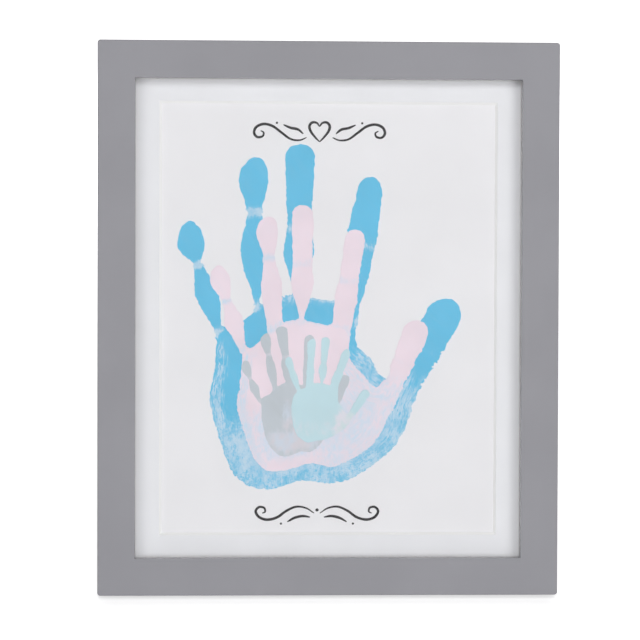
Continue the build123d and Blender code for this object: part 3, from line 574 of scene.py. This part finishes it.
def black_board(name, tone, faces):
    """Black laminated fibreboard: fine paper grain, faint scuffs and brown cut edges."""
    finish = new_finish(name)
    grain = finish.grain(0.8, 4.0, 0.65)
    scuff = finish.grain(4, 5.0, 0.7, places=finish.places((1.0, 1.0, 0.06), 0.9))
    cloud = finish.grain(50, 3.0)
    fibre = finish.grain(0.7, 3.0, 0.65)
    cut = 1 - abs(finish.facing(faces)).step(0.6, 0.9)
    black = grain.mottle(tone.board, 0.8, 1.7, 0.35, 0.7)
    black = (scuff.step(0.64, 0.76) * 0.16).mix(black, rgba(tone.scuff))
    brown = fibre.mottle(tone.fibreboard, 0.5, 0.85)
    shine = 0.52 + cloud.swing(0.12) + grain.swing(0.2) + cut * 0.3
    relief = grain * (1 - cut) + fibre * cut
    return finish.done(cut.mix(black, brown), shine, relief, depth=0.05, mirror=0.35)


def kraft_card(tone):
    """Brown filler board with its fluting just telling through."""
    finish = new_finish("kraft_filler")
    fibre = finish.grain(1.2, 4.0, 0.65, places=finish.places((0.3, 1.0, 1.0)))
    across, _, _ = finish.parts()
    flute_rate = 900.0
    flute = abs((across * flute_rate).wave())
    colour = fibre.mottle(tone.cardboard, 0.86, 1.1)
    colour = (flute * 0.08).mix(colour, rgba(tone.cardboard, 0.8))
    return finish.done(colour, 0.85 + fibre.swing(0.1), fibre * 0.5 + flute * 0.5, depth=0.06, mirror=0.15)


def plated_steel(name, colour, shine, warm):
    """Stamped and zinc plated steel: fine rolling lines, a mild bloom and grime, yellower where warm."""
    finish = new_finish(name)
    bloom = finish.grain(6, 4.0, 0.6)
    roll = finish.grain(0.5, places=finish.places((0.08, 1.0, 1.0)))
    grime = finish.grain(1.8, 4.0, 0.65)
    dull = grime.step(0.58, 0.72)
    plate = tuple(c * w for c, w in zip(colour, (1.0, 1.0 - 0.05 * warm, 1.0 - 0.22 * warm)))
    tone = bloom.mottle(plate, 0.86, 1.04)
    tone = (dull * 0.35).mix(tone, rgba(plate, 0.55))
    rough = shine + bloom.swing(0.22) + roll.swing(0.14) + dull * 0.16
    finish.surfaces(metallic=1.0)
    return finish.done(tone, rough, roll * 0.6 + grime * 0.4, depth=0.012, mirror=0.5)


def soft_rubber(colour):
    """Matt rubber with a dusty bloom."""
    finish = new_finish("bumper_rubber")
    dust = finish.grain(2.2, 4.0, 0.65)
    tone = dust.mottle(colour, 1.0, 2.0, 0.45, 0.75)
    shine = 0.62 + dust.step(0.45, 0.75) * 0.2
    return finish.done(tone, shine, finish.grain(0.4), depth=0.03, mirror=0.4)


def seen_directly(finish):
    """1 for what the camera sees, also in a mirror or through glass, and 0 for light on the object."""
    path = finish.node("LightPath").socket.node
    rays = ("Is Camera Ray", "Is Glossy Ray", "Is Transmission Ray")
    camera, glossy, through = (Flow(finish, path.outputs[name]) for name in rays)
    return camera.above(glossy).above(through)


def white_floor(studio):
    """Pale floor that fades into the white room away from the object."""
    finish = new_finish("white_floor")
    tone = finish.grain(400).mottle(studio.floor, 1.0, 1.0333)
    away = finish.node("VectorMath", {0: finish.here}, "Value", operation="LENGTH")
    level = studio.floor_glow + away.step(0.45, 1.1) * (1 - studio.floor_glow)
    glow = (seen_directly(finish) * level).mix(rgba(WHITE, 0.0), rgba(WHITE))
    finish.surfaces(base_color=tone, roughness=0.9, specular_ior_level=0.0)
    finish.surfaces(emission_color=glow, emission_strength=1.0)
    return finish


def smooth_rise(x, low, high):
    t = np.clip((x - low) / (high - low), 0.0, 1.0)
    return t * t * (3 - 2 * t)


def fade(x, zone):
    """How far into a zone of the hand x lies, from 0 to 1."""
    return smooth_rise(x, *FADES[zone])


def smooth_least(a, b, fillet):
    part = np.clip(0.5 + 0.5 * (b - a) / fillet, 0.0, 1.0)
    return b * (1 - part) + a * part - fillet * part * (1 - part)


def rough_line(points, size, seed):
    """Noise from -1 to 1 at each point, with features about size across."""
    return np.array([noise.noise(Vector((x / size, y / size, seed))) for x, y in points])


def smooth_run(before, start, end, after, t):
    """Points of a smooth curve from start to end as t goes from 0 to 1, with a point before and after."""
    bend = (2 * before - 5 * start + 4 * end - after) * t ** 2
    twist = (3 * start - before - 3 * end + after) * t ** 3
    return (2 * start + (end - before) * t + bend + twist) / 2


def palm_outline(knots):
    """Closed smooth curve through the palm's points."""
    knots = np.array(knots) / 1000
    steps = np.linspace(0, 1, PALM_STEPS, endpoint=False)[:, None]
    near = [np.roll(knots, -k, axis=0) for k in (-1, 0, 1, 2)]
    return np.concatenate([smooth_run(*four, steps) for four in zip(*near)])


def palm_depth(points, knots):
    """Distance outside the palm, less than 0 inside, in shares of the hand."""
    outline = palm_outline(knots)
    ends = np.roll(outline, -1, axis=0)
    nearest = np.full(len(points), np.inf)
    inside = np.zeros(len(points), bool)
    for start, end in zip(outline, ends):
        edge = end - start
        offset = points - start
        along = np.clip(offset @ edge / (edge @ edge), 0, 1)
        nearest = np.minimum(nearest, ((offset - along[:, None] * edge) ** 2).sum(1))
        spans = (start[1] <= points[:, 1]) != (end[1] <= points[:, 1])
        with np.errstate(divide="ignore", invalid="ignore"):
            cross = start[0] + (points[:, 1] - start[1]) / edge[1] * edge[0]
        inside ^= spans & (points[:, 0] < cross)
    return np.where(inside, -1, 1) * np.sqrt(nearest)


def finger_depth(points, name, finger):
    """Distance outside a finger, and how far along it a point lies, from 0 at the root to 1 at the tip."""
    root, tip = np.array(finger[:2]) / 1000
    half, shares, joint = finger[2:]
    make = FINGERS[name]
    reach = np.hypot(*(tip - root))
    axis = (tip - root) / reach
    offset = points - root
    along = offset @ axis
    cap = make["end"] * half
    places = (0.0, joint * make["pad"] * reach, joint * reach, reach - cap)
    past_tip = along - places[-1]
    left = offset @ np.array((-axis[1], axis[0]))
    aside = np.abs(left + make["lean"] * half * np.clip(past_tip / cap, 0, 1) ** 2)
    widths = shares + (1.0,)
    width = np.full(len(points), widths[0])
    for start, end, low, high in zip(places, places[1:], widths, widths[1:]):
        width = np.where(along > start, low + (high - low) * smooth_rise(along, start, end), width)
    body = aside - width * half
    end = (np.hypot(aside / half, past_tip / cap) - 1) * half
    base = np.hypot(along, aside) - widths[0] * half
    return np.where(past_tip > 0, end, np.where(along < 0, base, body)), along / reach


def hand_places(points, hand):
    """Points on the sheet, in metres from its middle, as places on the hand in shares of its length."""
    turn = math.radians(hand["turn"])
    offset = points / LARGEST_PRINT - np.array(hand["heel"])
    across = offset[:, 0] * math.cos(turn) - offset[:, 1] * math.sin(turn)
    up = offset[:, 0] * math.sin(turn) + offset[:, 1] * math.cos(turn)
    return np.stack([across, up], 1) / hand["size"]


def paint_left(spots, palm, lengths, depths, hand):
    """How dry the paint was at each spot and how far it lies in streaks, both from 0 to 1."""
    across, up = spots.T
    part = {**DRY_NOWHERE, **hand["dry"]}
    on_palm = fade(-palm, "palm_seam")
    on_thumb = fade(-depths["thumb"], "side_seam")
    creases = np.zeros(len(spots))
    for name, (_, _, _, widths, joint) in hand["fingers"].items():
        along = lengths[name]
        # The narrower the finger is at its joint, the drier the crease
        waist = np.clip(1.75 * (1.05 - widths[-1]), 0.5, 0.95)
        crease = np.exp(-((along - joint) / CREASE_LENGTH) ** 2) * waist * FINGERS[name]["crease"]
        root = fade(along, "finger_root") * fade(palm, "palm_seam") * ROOT_DRY
        inside = fade(-depths[name], "finger_seam")
        creases = np.maximum(creases, part["crease"] * inside * np.maximum(crease, root))
    fringe = FRINGE_DRY * fade(-palm, "fringe") * fade(up, "fringe_height")
    top = part["crease"] * np.maximum(TOP_DRY * fade(up, "top"), fringe)
    heel_rim = part["rim"] + (1 - part["rim"]) * fade(-palm, "heel_rim")
    heel = part["heel"] * fade(up - HEEL_TILT * np.maximum(across, 0), "heel") * heel_rim
    from_hollow = (spots - np.array(HOLLOW_MIDDLE)) / np.array(HOLLOW_SPREAD)
    hollow = part["hollow"] * np.exp(-(from_hollow ** 2).sum(1))
    corner = on_palm * fade(across, "corner_side") * fade(up - CORNER_TILT * across, "corner_height")
    corner = part["corner"] * np.maximum(corner, on_thumb * fade(lengths["thumb"], "corner_thumb"))
    web = part["web"] * fade(across - WEB_TILT * up, "web_side") * fade(up, "web_height")
    thumb = part["web"] * on_thumb * fade(lengths["thumb"], "web_thumb")
    ridge = np.exp(-((-palm - OUTER_DEPTH) / OUTER_SPREAD) ** 2)
    ridge = ridge + FOOT_DRY * fade(-palm, "outer_rim") * fade(up, "outer_foot")
    outer = part["outer"] * ridge * fade(across, "outer_side") * fade(up, "outer_height")
    lines = np.maximum(on_palm * np.maximum(web, outer), thumb)
    rest = np.maximum.reduce([creases, corner, on_palm * np.maximum.reduce([top, heel, hollow])])
    right = fade(across, "right_side")
    streaky = lines / np.maximum(lines + rest * (1 - STREAKS_RIGHT * right), 0.001)
    streaky = streaky * np.maximum(fade(up, "streaks_height"), STREAKS_LOW * right)
    return np.clip(np.maximum(rest, lines), 0, 1), streaky


def torn_share(dry, depths, lengths):
    """How ragged the edge is at each spot: where the paint ran dry and down the sides of the fingers."""
    torn = dry
    for name, along in lengths.items():
        side = fade(-depths[name], "side_seam") * fade(along, "ragged_tip") * fade(along, "ragged_root")
        torn = np.maximum(torn, FINGERS[name]["ragged"] * side)
    return torn


def edge_noise(points, waves, scale, seed):
    """Sum of the waves along an edge, in metres, with heights and lengths times scale."""
    return sum(high * scale * rough_line(points, long * scale, seed + own) for high, long, own in waves)


def print_depth(points, hand, seed):
    """Distance outside a print's wavering edge in metres, and how dry and how streaky its paint is."""
    spots = hand_places(points, hand)
    palm = palm_depth(spots, hand["palm"])
    depths = {}
    lengths = {}
    whole = palm
    for name, finger in hand["fingers"].items():
        depths[name], lengths[name] = finger_depth(spots, name, finger)
        whole = smooth_least(whole, depths[name], FINGER_FILLET)
    dry, streaky = paint_left(spots, palm, lengths, depths, hand)
    depth = whole * LARGEST_PRINT * hand["size"]
    near = np.abs(depth) < EDGE_REACH
    scale = MM * math.sqrt(hand["size"])
    torn = torn_share(dry, depths, lengths)[near]
    waver, tears = (edge_noise(points[near], waves, scale, seed) for waves in (EDGE_WAVER, EDGE_TEARS))
    depth[near] += waver + torn * tears
    return depth, dry, streaky


def stroke_places(points, depth, hand):
    """Places along the print's outline: how deep inside it, and how far round the palm, in metres."""
    from_middle = hand_places(points, hand) - np.array(PALM_MIDDLE)
    radius = PALM_RADIUS * LARGEST_PRINT * hand["size"]
    around = np.arctan2(from_middle[:, 0], from_middle[:, 1]) * radius
    return np.stack([-depth, around, np.zeros(len(points))], 1)


def whole_patch(inside):
    """The joined patch of cells round the middle, with no two cells that meet only at a corner."""
    filled = inside.copy()
    for _ in range(6):
        a, b, c, d = filled[:-1, :-1], filled[:-1, 1:], filled[1:, :-1], filled[1:, 1:]
        falling = a & d & ~b & ~c
        rising = b & c & ~a & ~d
        b |= falling
        a |= rising
    rows, columns = np.nonzero(filled)
    middle = np.argmin((rows - rows.mean()) ** 2 + (columns - columns.mean()) ** 2)
    patch = np.zeros_like(filled)
    patch[rows[middle], columns[middle]] = True
    while True:
        grown = patch.copy()
        for cells, axis in ((1, 0), (-1, 0), (1, 1), (-1, 1)):
            grown |= filled & np.roll(patch, cells, axis)
        if (grown == patch).all():
            return patch
        patch = grown


def read_mesh(items, key, width, kind=float):
    """One row of numbers for each vertex, edge, loop or face of a mesh."""
    values = np.empty(len(items) * width, kind)
    items.foreach_get(key, values)
    return values.reshape(-1, width)


def vertex_places(piece):
    return read_mesh(piece.data.vertices, "co", 3)


def move_vertices(piece, places):
    piece.data.vertices.foreach_set("co", np.ascontiguousarray(places, float).ravel())
    piece.data.update()


def new_piece(name, add, location=(0, 0, 0), **options):
    """A new primitive as the one selected object."""
    bpy.ops.object.select_all(action="DESELECT")
    add(location=location, **options)
    piece = bpy.context.object
    piece.name = name
    piece.data.name = name
    return piece


def new_grid(name, columns, rows):
    """A flat grid, one unit across and up."""
    add = bpy.ops.mesh.primitive_grid_add
    return new_piece(name, add, x_subdivisions=columns, y_subdivisions=rows, size=1.0)


def lay_film(piece, points, layer, thickness):
    """Doubles a flat piece into a closed film above the sheet, its points in metres from the middle."""
    bpy.ops.object.modifier_add(type="SOLIDIFY")
    film = piece.modifiers[-1]
    film.thickness = 1.0
    film.offset = -1.0
    bpy.ops.object.modifier_apply(modifier=film.name)
    if len(piece.data.vertices) != 2 * len(points):
        raise RuntimeError(f"{piece.name} did not double into a film")
    # The copies behind follow the first vertices in the same order
    behind = np.full(len(points), SHEET_MIDDLE.y - layer)
    across, up = (np.concatenate([points, points]) + SHEET_PLACE).T
    move_vertices(piece, in_place(across, np.concatenate([behind - thickness, behind]), up))


def add_values(piece, name, values):
    """Keeps a number or vector for each vertex of a film, the same on its front and its copy behind."""
    kind, key = ("FLOAT", "value") if values.ndim == 1 else ("FLOAT_VECTOR", "vector")
    both = np.concatenate([values, values]).astype(np.float32)
    piece.data.attributes.new(name, kind, "POINT").data.foreach_set(key, both.ravel())


def trim_grid(piece, kept):
    """Deletes the cells of a grid that aren't kept. Its vertices lie at whole numbers of cells."""
    cells = read_mesh(piece.data.polygons, "center", 3)[:, :2].astype(int)
    piece.data.polygons.foreach_set("select", ~kept[cells[:, 1], cells[:, 0]])
    bpy.context.tool_settings.mesh_select_mode = (False, False, True)
    bpy.ops.object.mode_set(mode="EDIT")
    bpy.ops.mesh.delete(type="FACE")
    bpy.ops.object.mode_set(mode="OBJECT")


def open_rim(piece):
    """Numbers of the vertices along a sheet's open edge."""
    edges = read_mesh(piece.data.loops, "edge_index", 1, int).ravel()
    ends = read_mesh(piece.data.edges, "vertices", 2, int)
    return np.unique(ends[np.bincount(edges, minlength=len(ends)) == 1])


def settle_rim(points, rim, hand, seed, cell):
    """Slides the rim's points onto the print's edge, down the slope of the distance from it."""
    span = 0.1 * cell
    most = 0.6 * cell
    flattest = 0.3

    def depth(places):
        return print_depth(places, hand, seed)[0]

    for _ in range(2):
        spot = points[rim]
        rises = [depth(spot + way) - depth(spot - way) for way in span * np.eye(2)]
        slope = np.stack(rises, 1) / (2 * span)
        shift = -depth(spot)[:, None] * slope / np.maximum((slope ** 2).sum(1), flattest)[:, None]
        points[rim] = spot + np.clip(shift, -most, most)


def press_print(name, hand, layer, film):
    """One painted hand: a fine grid trimmed to the outline, thickened, with a bead of paint at its rim."""
    low, high = (place[[0, 2]] for place in upright(name))
    cell = hand["cell"] * MM
    seed = FIRST_SEED + SEED_STEP * layer
    corner = low - GRID_SPARE - SHEET_PLACE
    columns, rows = ((high - low + 2 * GRID_SPARE) / cell).astype(int).tolist()
    piece = new_grid(name + "_paint", columns, rows)
    move_vertices(piece, (vertex_places(piece) + (0.5, 0.5, 0.0)) * (columns, rows, 0.0))
    middles = np.stack(np.meshgrid(np.arange(columns) + 0.5, np.arange(rows) + 0.5), -1).reshape(-1, 2)
    depth = print_depth(corner + middles * cell, hand, seed)[0]
    trim_grid(piece, whole_patch((depth < 0).reshape(rows, columns)))
    points = corner + vertex_places(piece)[:, :2] * cell
    rim = open_rim(piece)
    settle_rim(points, rim, hand, seed, cell)
    depth, dry, streaky = print_depth(points, hand, seed)
    depth[rim] = 0
    inward = np.maximum(-depth, 0) / MM
    bead = np.exp(-((inward - BEAD_PLACE) / BEAD_WIDTH) ** 2)
    level = FILM_RIM + FILM_GAIN * smooth_rise(inward, 0, RISE_LENGTH) + FILM_BEAD * bead - FILM_LOSS * dry
    lay_film(piece, points, layer * film, film * np.clip(level, FILM_LEAST, 1.0))
    add_values(piece, "dry", dry)
    add_values(piece, "streaky", streaky)
    add_values(piece, "stroke", stroke_places(points, depth, hand))
    bpy.ops.object.shade_smooth_by_angle(angle=FILM_CREASE)
    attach(piece, "frame")
    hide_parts(name)
    return piece


# Pen strokes in millimetres from the middle of each ornament, right half. The left half mirrors them
HEART_SIDE = ((0.0, 2.6), (1.5, 4.6), (4.0, 4.9), (5.6, 2.9), (4.9, 0.0), (2.5, -3.2), (0.0, -5.8))
UPPER_SWASH = (
    (7.2, -3.4), (11.0, -4.9), (16.0, -4.3), (21.0, -0.8), (26.0, 2.8), (31.0, 3.9), (35.0, 2.2),
    (36.2, -1.0), (34.4, -3.3), (31.6, -2.9), (30.9, -0.9), (32.6, 0.3),
)
UPPER_LEAF = ((9.0, -1.4), (12.0, 1.0), (16.0, 1.9), (20.0, 3.6))
LOWER_SWASH = (
    (1.6, -0.4), (6.0, 2.4), (11.5, 3.2), (17.0, 0.9), (22.0, -2.6), (27.5, -4.0), (32.0, -2.6),
    (34.0, 0.6), (32.2, 3.0), (29.4, 2.6), (28.8, 0.5), (30.4, -0.4),
)
LOWER_LEAF = ((3.8, -2.6), (8.0, -2.0), (12.5, -3.0), (16.5, -5.2))
SIDE_DOT_RADIUS = 0.62
MIDDLE_DOT_RADIUS = 0.9

# Each ornament's place from the sheet's middle, strokes and their first seed, side dot and middle dots
ORNAMENTS = {
    "upper_flourish": ((-5.2, 103.6), (HEART_SIDE, UPPER_SWASH, UPPER_LEAF), 2.0, (23.6, 4.6), ()),
    "lower_flourish": ((-6.0, -107.6), (LOWER_SWASH, LOWER_LEAF), 8.0, (20.0, -6.2), ((0.0, 1.4),)),
}

# A stroke's steps, its ends and tremor in shares of its width, how it swells, the tremor's length in
# millimetres, a dot's sides, unevenness, waves and seed, and the thickness of the ink
STROKE_STEPS = 120
STROKE_ENDS = 0.30
STROKE_SWELL = 0.6
TREMOR = 0.06
TREMOR_LENGTH = 2.5
DOT_SIDES = 28
DOT_UNEVEN = 0.07
DOT_WAVES = 1.3
DOT_SEED = 4.0
INK_FILM = 0.03 * MM


def smooth_path(knots, steps):
    """Points and directions along a smooth curve through the knots."""
    knots = np.array(knots, float)
    padded = np.concatenate([2 * knots[:1] - knots[1:2], knots, 2 * knots[-1:] - knots[-2:-1]])
    at = np.linspace(0, len(knots) - 1, steps)
    run = np.minimum(at.astype(int), len(knots) - 2)
    points = smooth_run(*(padded[run + k] for k in range(4)), (at - run)[:, None])
    ways = np.gradient(points, axis=0)
    return points, ways / np.linalg.norm(ways, axis=1)[:, None]


def lay_ink(piece, outline, place):
    """Lays a flat piece's outline, in millimetres from an ornament's place, as a film of ink."""
    lay_film(piece, (outline + np.array(place)) * MM, 0.0, INK_FILM)
    return piece


def pen_stroke(knots, place, width, seed):
    """One stroke of the pen as a ribbon of ink that swells and tapers."""
    piece = new_grid("pen_stroke", STROKE_STEPS, 2)
    grid = vertex_places(piece)
    at = np.clip((grid[:, 0] + 0.5) * STROKE_STEPS, 0, STROKE_STEPS).round().astype(int)
    points, ways = smooth_path(knots, STROKE_STEPS + 1)
    swell = np.sin(np.pi * np.linspace(0, 1, STROKE_STEPS + 1)) ** STROKE_SWELL
    tremor = rough_line(points, TREMOR_LENGTH, seed) * TREMOR
    half = width / MM / 2 * (STROKE_ENDS + (1 - STROKE_ENDS) * swell + tremor)
    aside = np.stack([-ways[:, 1], ways[:, 0]], 1)
    return lay_ink(piece, points[at] + aside[at] * (grid[:, 1] * 2 * half[at])[:, None], place)


def pen_dot(middle, place, radius):
    """A small round blot of ink."""
    add = bpy.ops.mesh.primitive_circle_add
    piece = new_piece("pen_dot", add, vertices=DOT_SIDES, radius=1.0, fill_type="TRIFAN")
    ring = vertex_places(piece)[:, :2]
    uneven = 1 + DOT_UNEVEN * rough_line(ring * DOT_WAVES, 1.0, DOT_SEED + middle[0])
    return lay_ink(piece, ring * uneven[:, None] * radius + np.array(middle), place)


def join_pieces(name, pieces):
    bpy.ops.object.select_all(action="DESELECT")
    for piece in pieces:
        piece.select_set(True)
    bpy.context.view_layer.objects.active = pieces[0]
    bpy.ops.object.join()
    pieces[0].name = name
    pieces[0].data.name = name
    return pieces[0]


class HANDPRINT_OT_moulding(bpy.types.Operator):
    """Paint the four mitred rails"""

    bl_idname = "handprint.moulding"
    bl_label = "Paint the moulding"

    def execute(self, context):
        dress(rail_paint(context.scene.handprint_finishes), *RAILS)
        return {"FINISHED"}


class HANDPRINT_OT_boards(bpy.types.Operator):
    """Finish the window mat, the sheet and the filler behind it"""

    bl_idname = "handprint.boards"
    bl_label = "Finish mat, sheet and filler"

    def execute(self, context):
        finishes = context.scene.handprint_finishes
        dress(mat_board_finish(finishes), "mat_board")
        dress(sheet_paper(finishes), "print_sheet")
        dress(kraft_card(finishes), "filler_board")
        return {"FINISHED"}


class HANDPRINT_OT_glazing(bpy.types.Operator):
    """Cut the pane, ease its edges and lay it in the rabbet with a breath of air in front of the mat"""

    bl_idname = "handprint.glazing"
    bl_label = "Glaze the frame"

    air = 0.06 * MM
    eased = 0.4 * MM

    def execute(self, context):
        low, high = upright("glass_pane")
        spread = high - low - np.array((0.0, 2 * self.air, 0.0))
        pane = new_piece("glazing", bpy.ops.mesh.primitive_cube_add, size=1.0)
        move_vertices(pane, vertex_places(pane) * spread)
        bpy.ops.object.mode_set(mode="EDIT")
        bpy.ops.mesh.bevel(offset=self.eased, segments=2, affect="EDGES")
        bpy.ops.object.mode_set(mode="OBJECT")
        move_vertices(pane, in_place(*(vertex_places(pane) + (low + high) / 2).T))
        coat(pane, clear_glass(context.scene.handprint_finishes))
        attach(pane, "frame")
        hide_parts("glass_pane")
        return {"FINISHED"}


class HANDPRINT_OT_prints(bpy.types.Operator):
    """Press the four hands onto the sheet, largest first"""

    bl_idname = "handprint.prints"
    bl_label = "Press the handprints"

    def execute(self, context):
        colours = context.scene.handprint_colours
        for layer, (name, hand) in enumerate(HANDS.items()):
            tones = [getattr(colours, strength + hand["tone"]) for strength in ("", "thin_", "wash_")]
            piece = press_print(name, hand, layer, colours.film)
            coat(piece, hand_paint("paint_" + hand["tone"] + "_film", *tones, hand["soft"]))
        return {"FINISHED"}


class HANDPRINT_OT_ornaments(bpy.types.Operator):
    """Draw a pen flourish above and below the hands"""

    bl_idname = "handprint.ornaments"
    bl_label = "Draw the flourishes"

    def execute(self, context):
        colours = context.scene.handprint_colours
        ink = pen_ink(colours.ink)
        for name, (place, strokes, seed, side_dot, middle_dots) in ORNAMENTS.items():
            pieces = []
            for side in (1, -1):
                for i, knots in enumerate(strokes):
                    knots = [(side * x, y) for x, y in knots]
                    pieces.append(pen_stroke(knots, place, colours.pen, seed + i))
                pieces.append(pen_dot((side * side_dot[0], side_dot[1]), place, SIDE_DOT_RADIUS))
            pieces.extend(pen_dot(dot, place, MIDDLE_DOT_RADIUS) for dot in middle_dots)
            piece = join_pieces(name, pieces)
            coat(piece, ink)
            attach(piece, "frame")
        return {"FINISHED"}


class HANDPRINT_OT_back(bpy.types.Operator):
    """Finish the back panel and the easel leg in black board"""

    bl_idname = "handprint.back"
    bl_label = "Finish panel and leg"

    def execute(self, context):
        finishes = context.scene.handprint_finishes
        dress(black_board("panel_black_board", finishes, BACK), "back_panel")
        folded = next(j for j in frame["joints"] if j["name"] == "easel_fold")["range_deg"][0]
        leg_face = Matrix.Rotation(math.radians(-folded), 3, "X") @ BACK
        dress(black_board("leg_black_board", finishes, leg_face), "easel_leg")
        return {"FINISHED"}


class HANDPRINT_OT_hardware(bpy.types.Operator):
    """Plate the hinge, hanger, buttons, screws and nails, and finish the bumpers"""

    bl_idname = "handprint.hardware"
    bl_label = "Finish the hardware"

    # Each plated finish: its name, roughness and warmth, and the nodes that it goes on
    plating = (
        ("hinge_zinc", 0.36, 0.0, HINGE),
        ("hanger_zinc", 0.32, 0.5, ("sawtooth_hanger", "hanger_nails")),
        ("corner_steel", 0.42, 0.0, ("corner_v_nails",)),
        ("button_zinc", 0.34, 0.25, BUTTONS),
        ("screw_zinc", 0.28, 0.8, ("turn_button_screws",)),
    )

    def execute(self, context):
        finishes = context.scene.handprint_finishes
        for name, shine, warm, nodes in self.plating:
            dress(plated_steel(name, finishes.zinc, shine, warm), *nodes)
        dress(soft_rubber(finishes.rubber), "wall_bumpers")
        return {"FINISHED"}


class HANDPRINT_OT_studio(bpy.types.Operator):
    """Set the floor, the white room, the lamps and the camera"""

    bl_idname = "handprint.studio"
    bl_label = "Set the studio"

    floor_size = 14.0
    sensor = 36.0

    # Each lamp's name and power, its angles aside and up from the face, and its distance and size in metres
    lamps = (
        ("left_softbox", "left_power", -37, -3, 2.8, (1.35, 1.2)),
        ("right_softbox", "right_power", 37, -3, 2.8, (1.35, 1.2)),
        ("top_softbox", "top_power", 0, 27, 10.0, (2.7, 3.7)),
        ("back_left_softbox", "back_power", -145, 35, 1.5, (1.4, 1.4)),
        ("back_right_softbox", "back_power", 145, 35, 1.5, (1.4, 1.4)),
    )

    def execute(self, context):
        studio = context.scene.handprint_studio
        middle = Vector(in_place(*FACE_MIDDLE))
        self.floor(studio)
        self.room(context.scene, studio)
        self.lights(studio, middle)
        self.camera(context.scene, studio, middle)
        context.scene.view_settings.view_transform = "Standard"
        return {"FINISHED"}

    def floor(self, studio):
        place = (0, 0, solid_bounds[0][2])
        floor = new_piece("studio_floor", bpy.ops.mesh.primitive_plane_add, place, size=self.floor_size)
        coat(floor, white_floor(studio))

    def room(self, scene, studio):
        scene.world = bpy.data.worlds.new("white_room")
        room = Finish(scene.world)
        backdrop = room.tree.nodes["Background"]
        seen = seen_directly(room)
        room.feed(backdrop.inputs["Color"], seen.mix(rgba(studio.shade), rgba(WHITE)))
        room.feed(backdrop.inputs["Strength"], studio.ambient + seen * (1 - studio.ambient))

    def lights(self, studio, middle):
        """Softboxes turned towards the middle of the frame's face."""
        for name, power_name, side, rise, away, size in self.lamps:
            way = towards(math.radians(side), math.radians(rise), -BACK, UP)
            bpy.ops.object.light_add(type="AREA", location=middle + way * away)
            lamp = bpy.context.object
            lamp.name = name
            lamp.rotation_euler = way.to_track_quat("Z", "Y").to_euler()
            lamp.data.shape = "RECTANGLE"
            lamp.data.size, lamp.data.size_y = size
            lamp.data.energy = getattr(studio, power_name)

    def camera(self, scene, studio, middle):
        way = towards(-studio.side, LEAN + studio.rise, Vector((0, -1, 0)), Vector((0, 0, 1)))
        place = middle + way * studio.distance
        target = middle + RIGHT * studio.aim_across + UP * studio.aim_up
        bpy.ops.object.camera_add(location=place)
        camera = bpy.context.object
        camera.name = "photo_camera"
        look = (target - place).to_track_quat("-Z", "Y").to_matrix()
        camera.rotation_euler = (look @ Matrix.Rotation(studio.roll, 3, "Z")).to_euler()
        camera.data.sensor_width = self.sensor
        camera.data.lens = studio.lens
        camera.data.clip_start = 10 * MM
        scene.camera = camera


class HANDPRINT_PT_panel(bpy.types.Panel):
    """Steps and settings of the handprint frame"""

    bl_idname = "HANDPRINT_PT_panel"
    bl_label = "Handprint frame"
    bl_space_type = "VIEW_3D"
    bl_region_type = "UI"
    bl_category = "Handprint frame"

    def draw(self, context):
        for operator in OPERATORS:
            self.layout.operator(operator.bl_idname)
        for name in GROUPS:
            group = getattr(context.scene, name)
            box = self.layout.box()
            for key in group.bl_rna.properties.keys():
                if key not in ("rna_type", "name"):
                    box.prop(group, key)


GROUPS = {
    "handprint_finishes": FrameFinishes,
    "handprint_colours": PrintColours,
    "handprint_studio": StudioSettings,
}
OPERATORS = (
    HANDPRINT_OT_moulding,
    HANDPRINT_OT_boards,
    HANDPRINT_OT_glazing,
    HANDPRINT_OT_prints,
    HANDPRINT_OT_ornaments,
    HANDPRINT_OT_back,
    HANDPRINT_OT_hardware,
    HANDPRINT_OT_studio,
)
CLASSES = (*GROUPS.values(), *OPERATORS, HANDPRINT_PT_panel)


def register():
    for item in CLASSES:
        bpy.utils.register_class(item)
    for name, group in GROUPS.items():
        setattr(bpy.types.Scene, name, PointerProperty(type=group))


def unregister():
    for name in GROUPS:
        delattr(bpy.types.Scene, name)
    for item in reversed(CLASSES):
        bpy.utils.unregister_class(item)


def main():
    register()
    bpy.ops.handprint.moulding()
    bpy.ops.handprint.boards()
    bpy.ops.handprint.glazing()
    bpy.ops.handprint.prints()
    bpy.ops.handprint.ornaments()
    bpy.ops.handprint.back()
    bpy.ops.handprint.hardware()
    bpy.ops.handprint.studio()


if __name__ == "__main__":
    main()
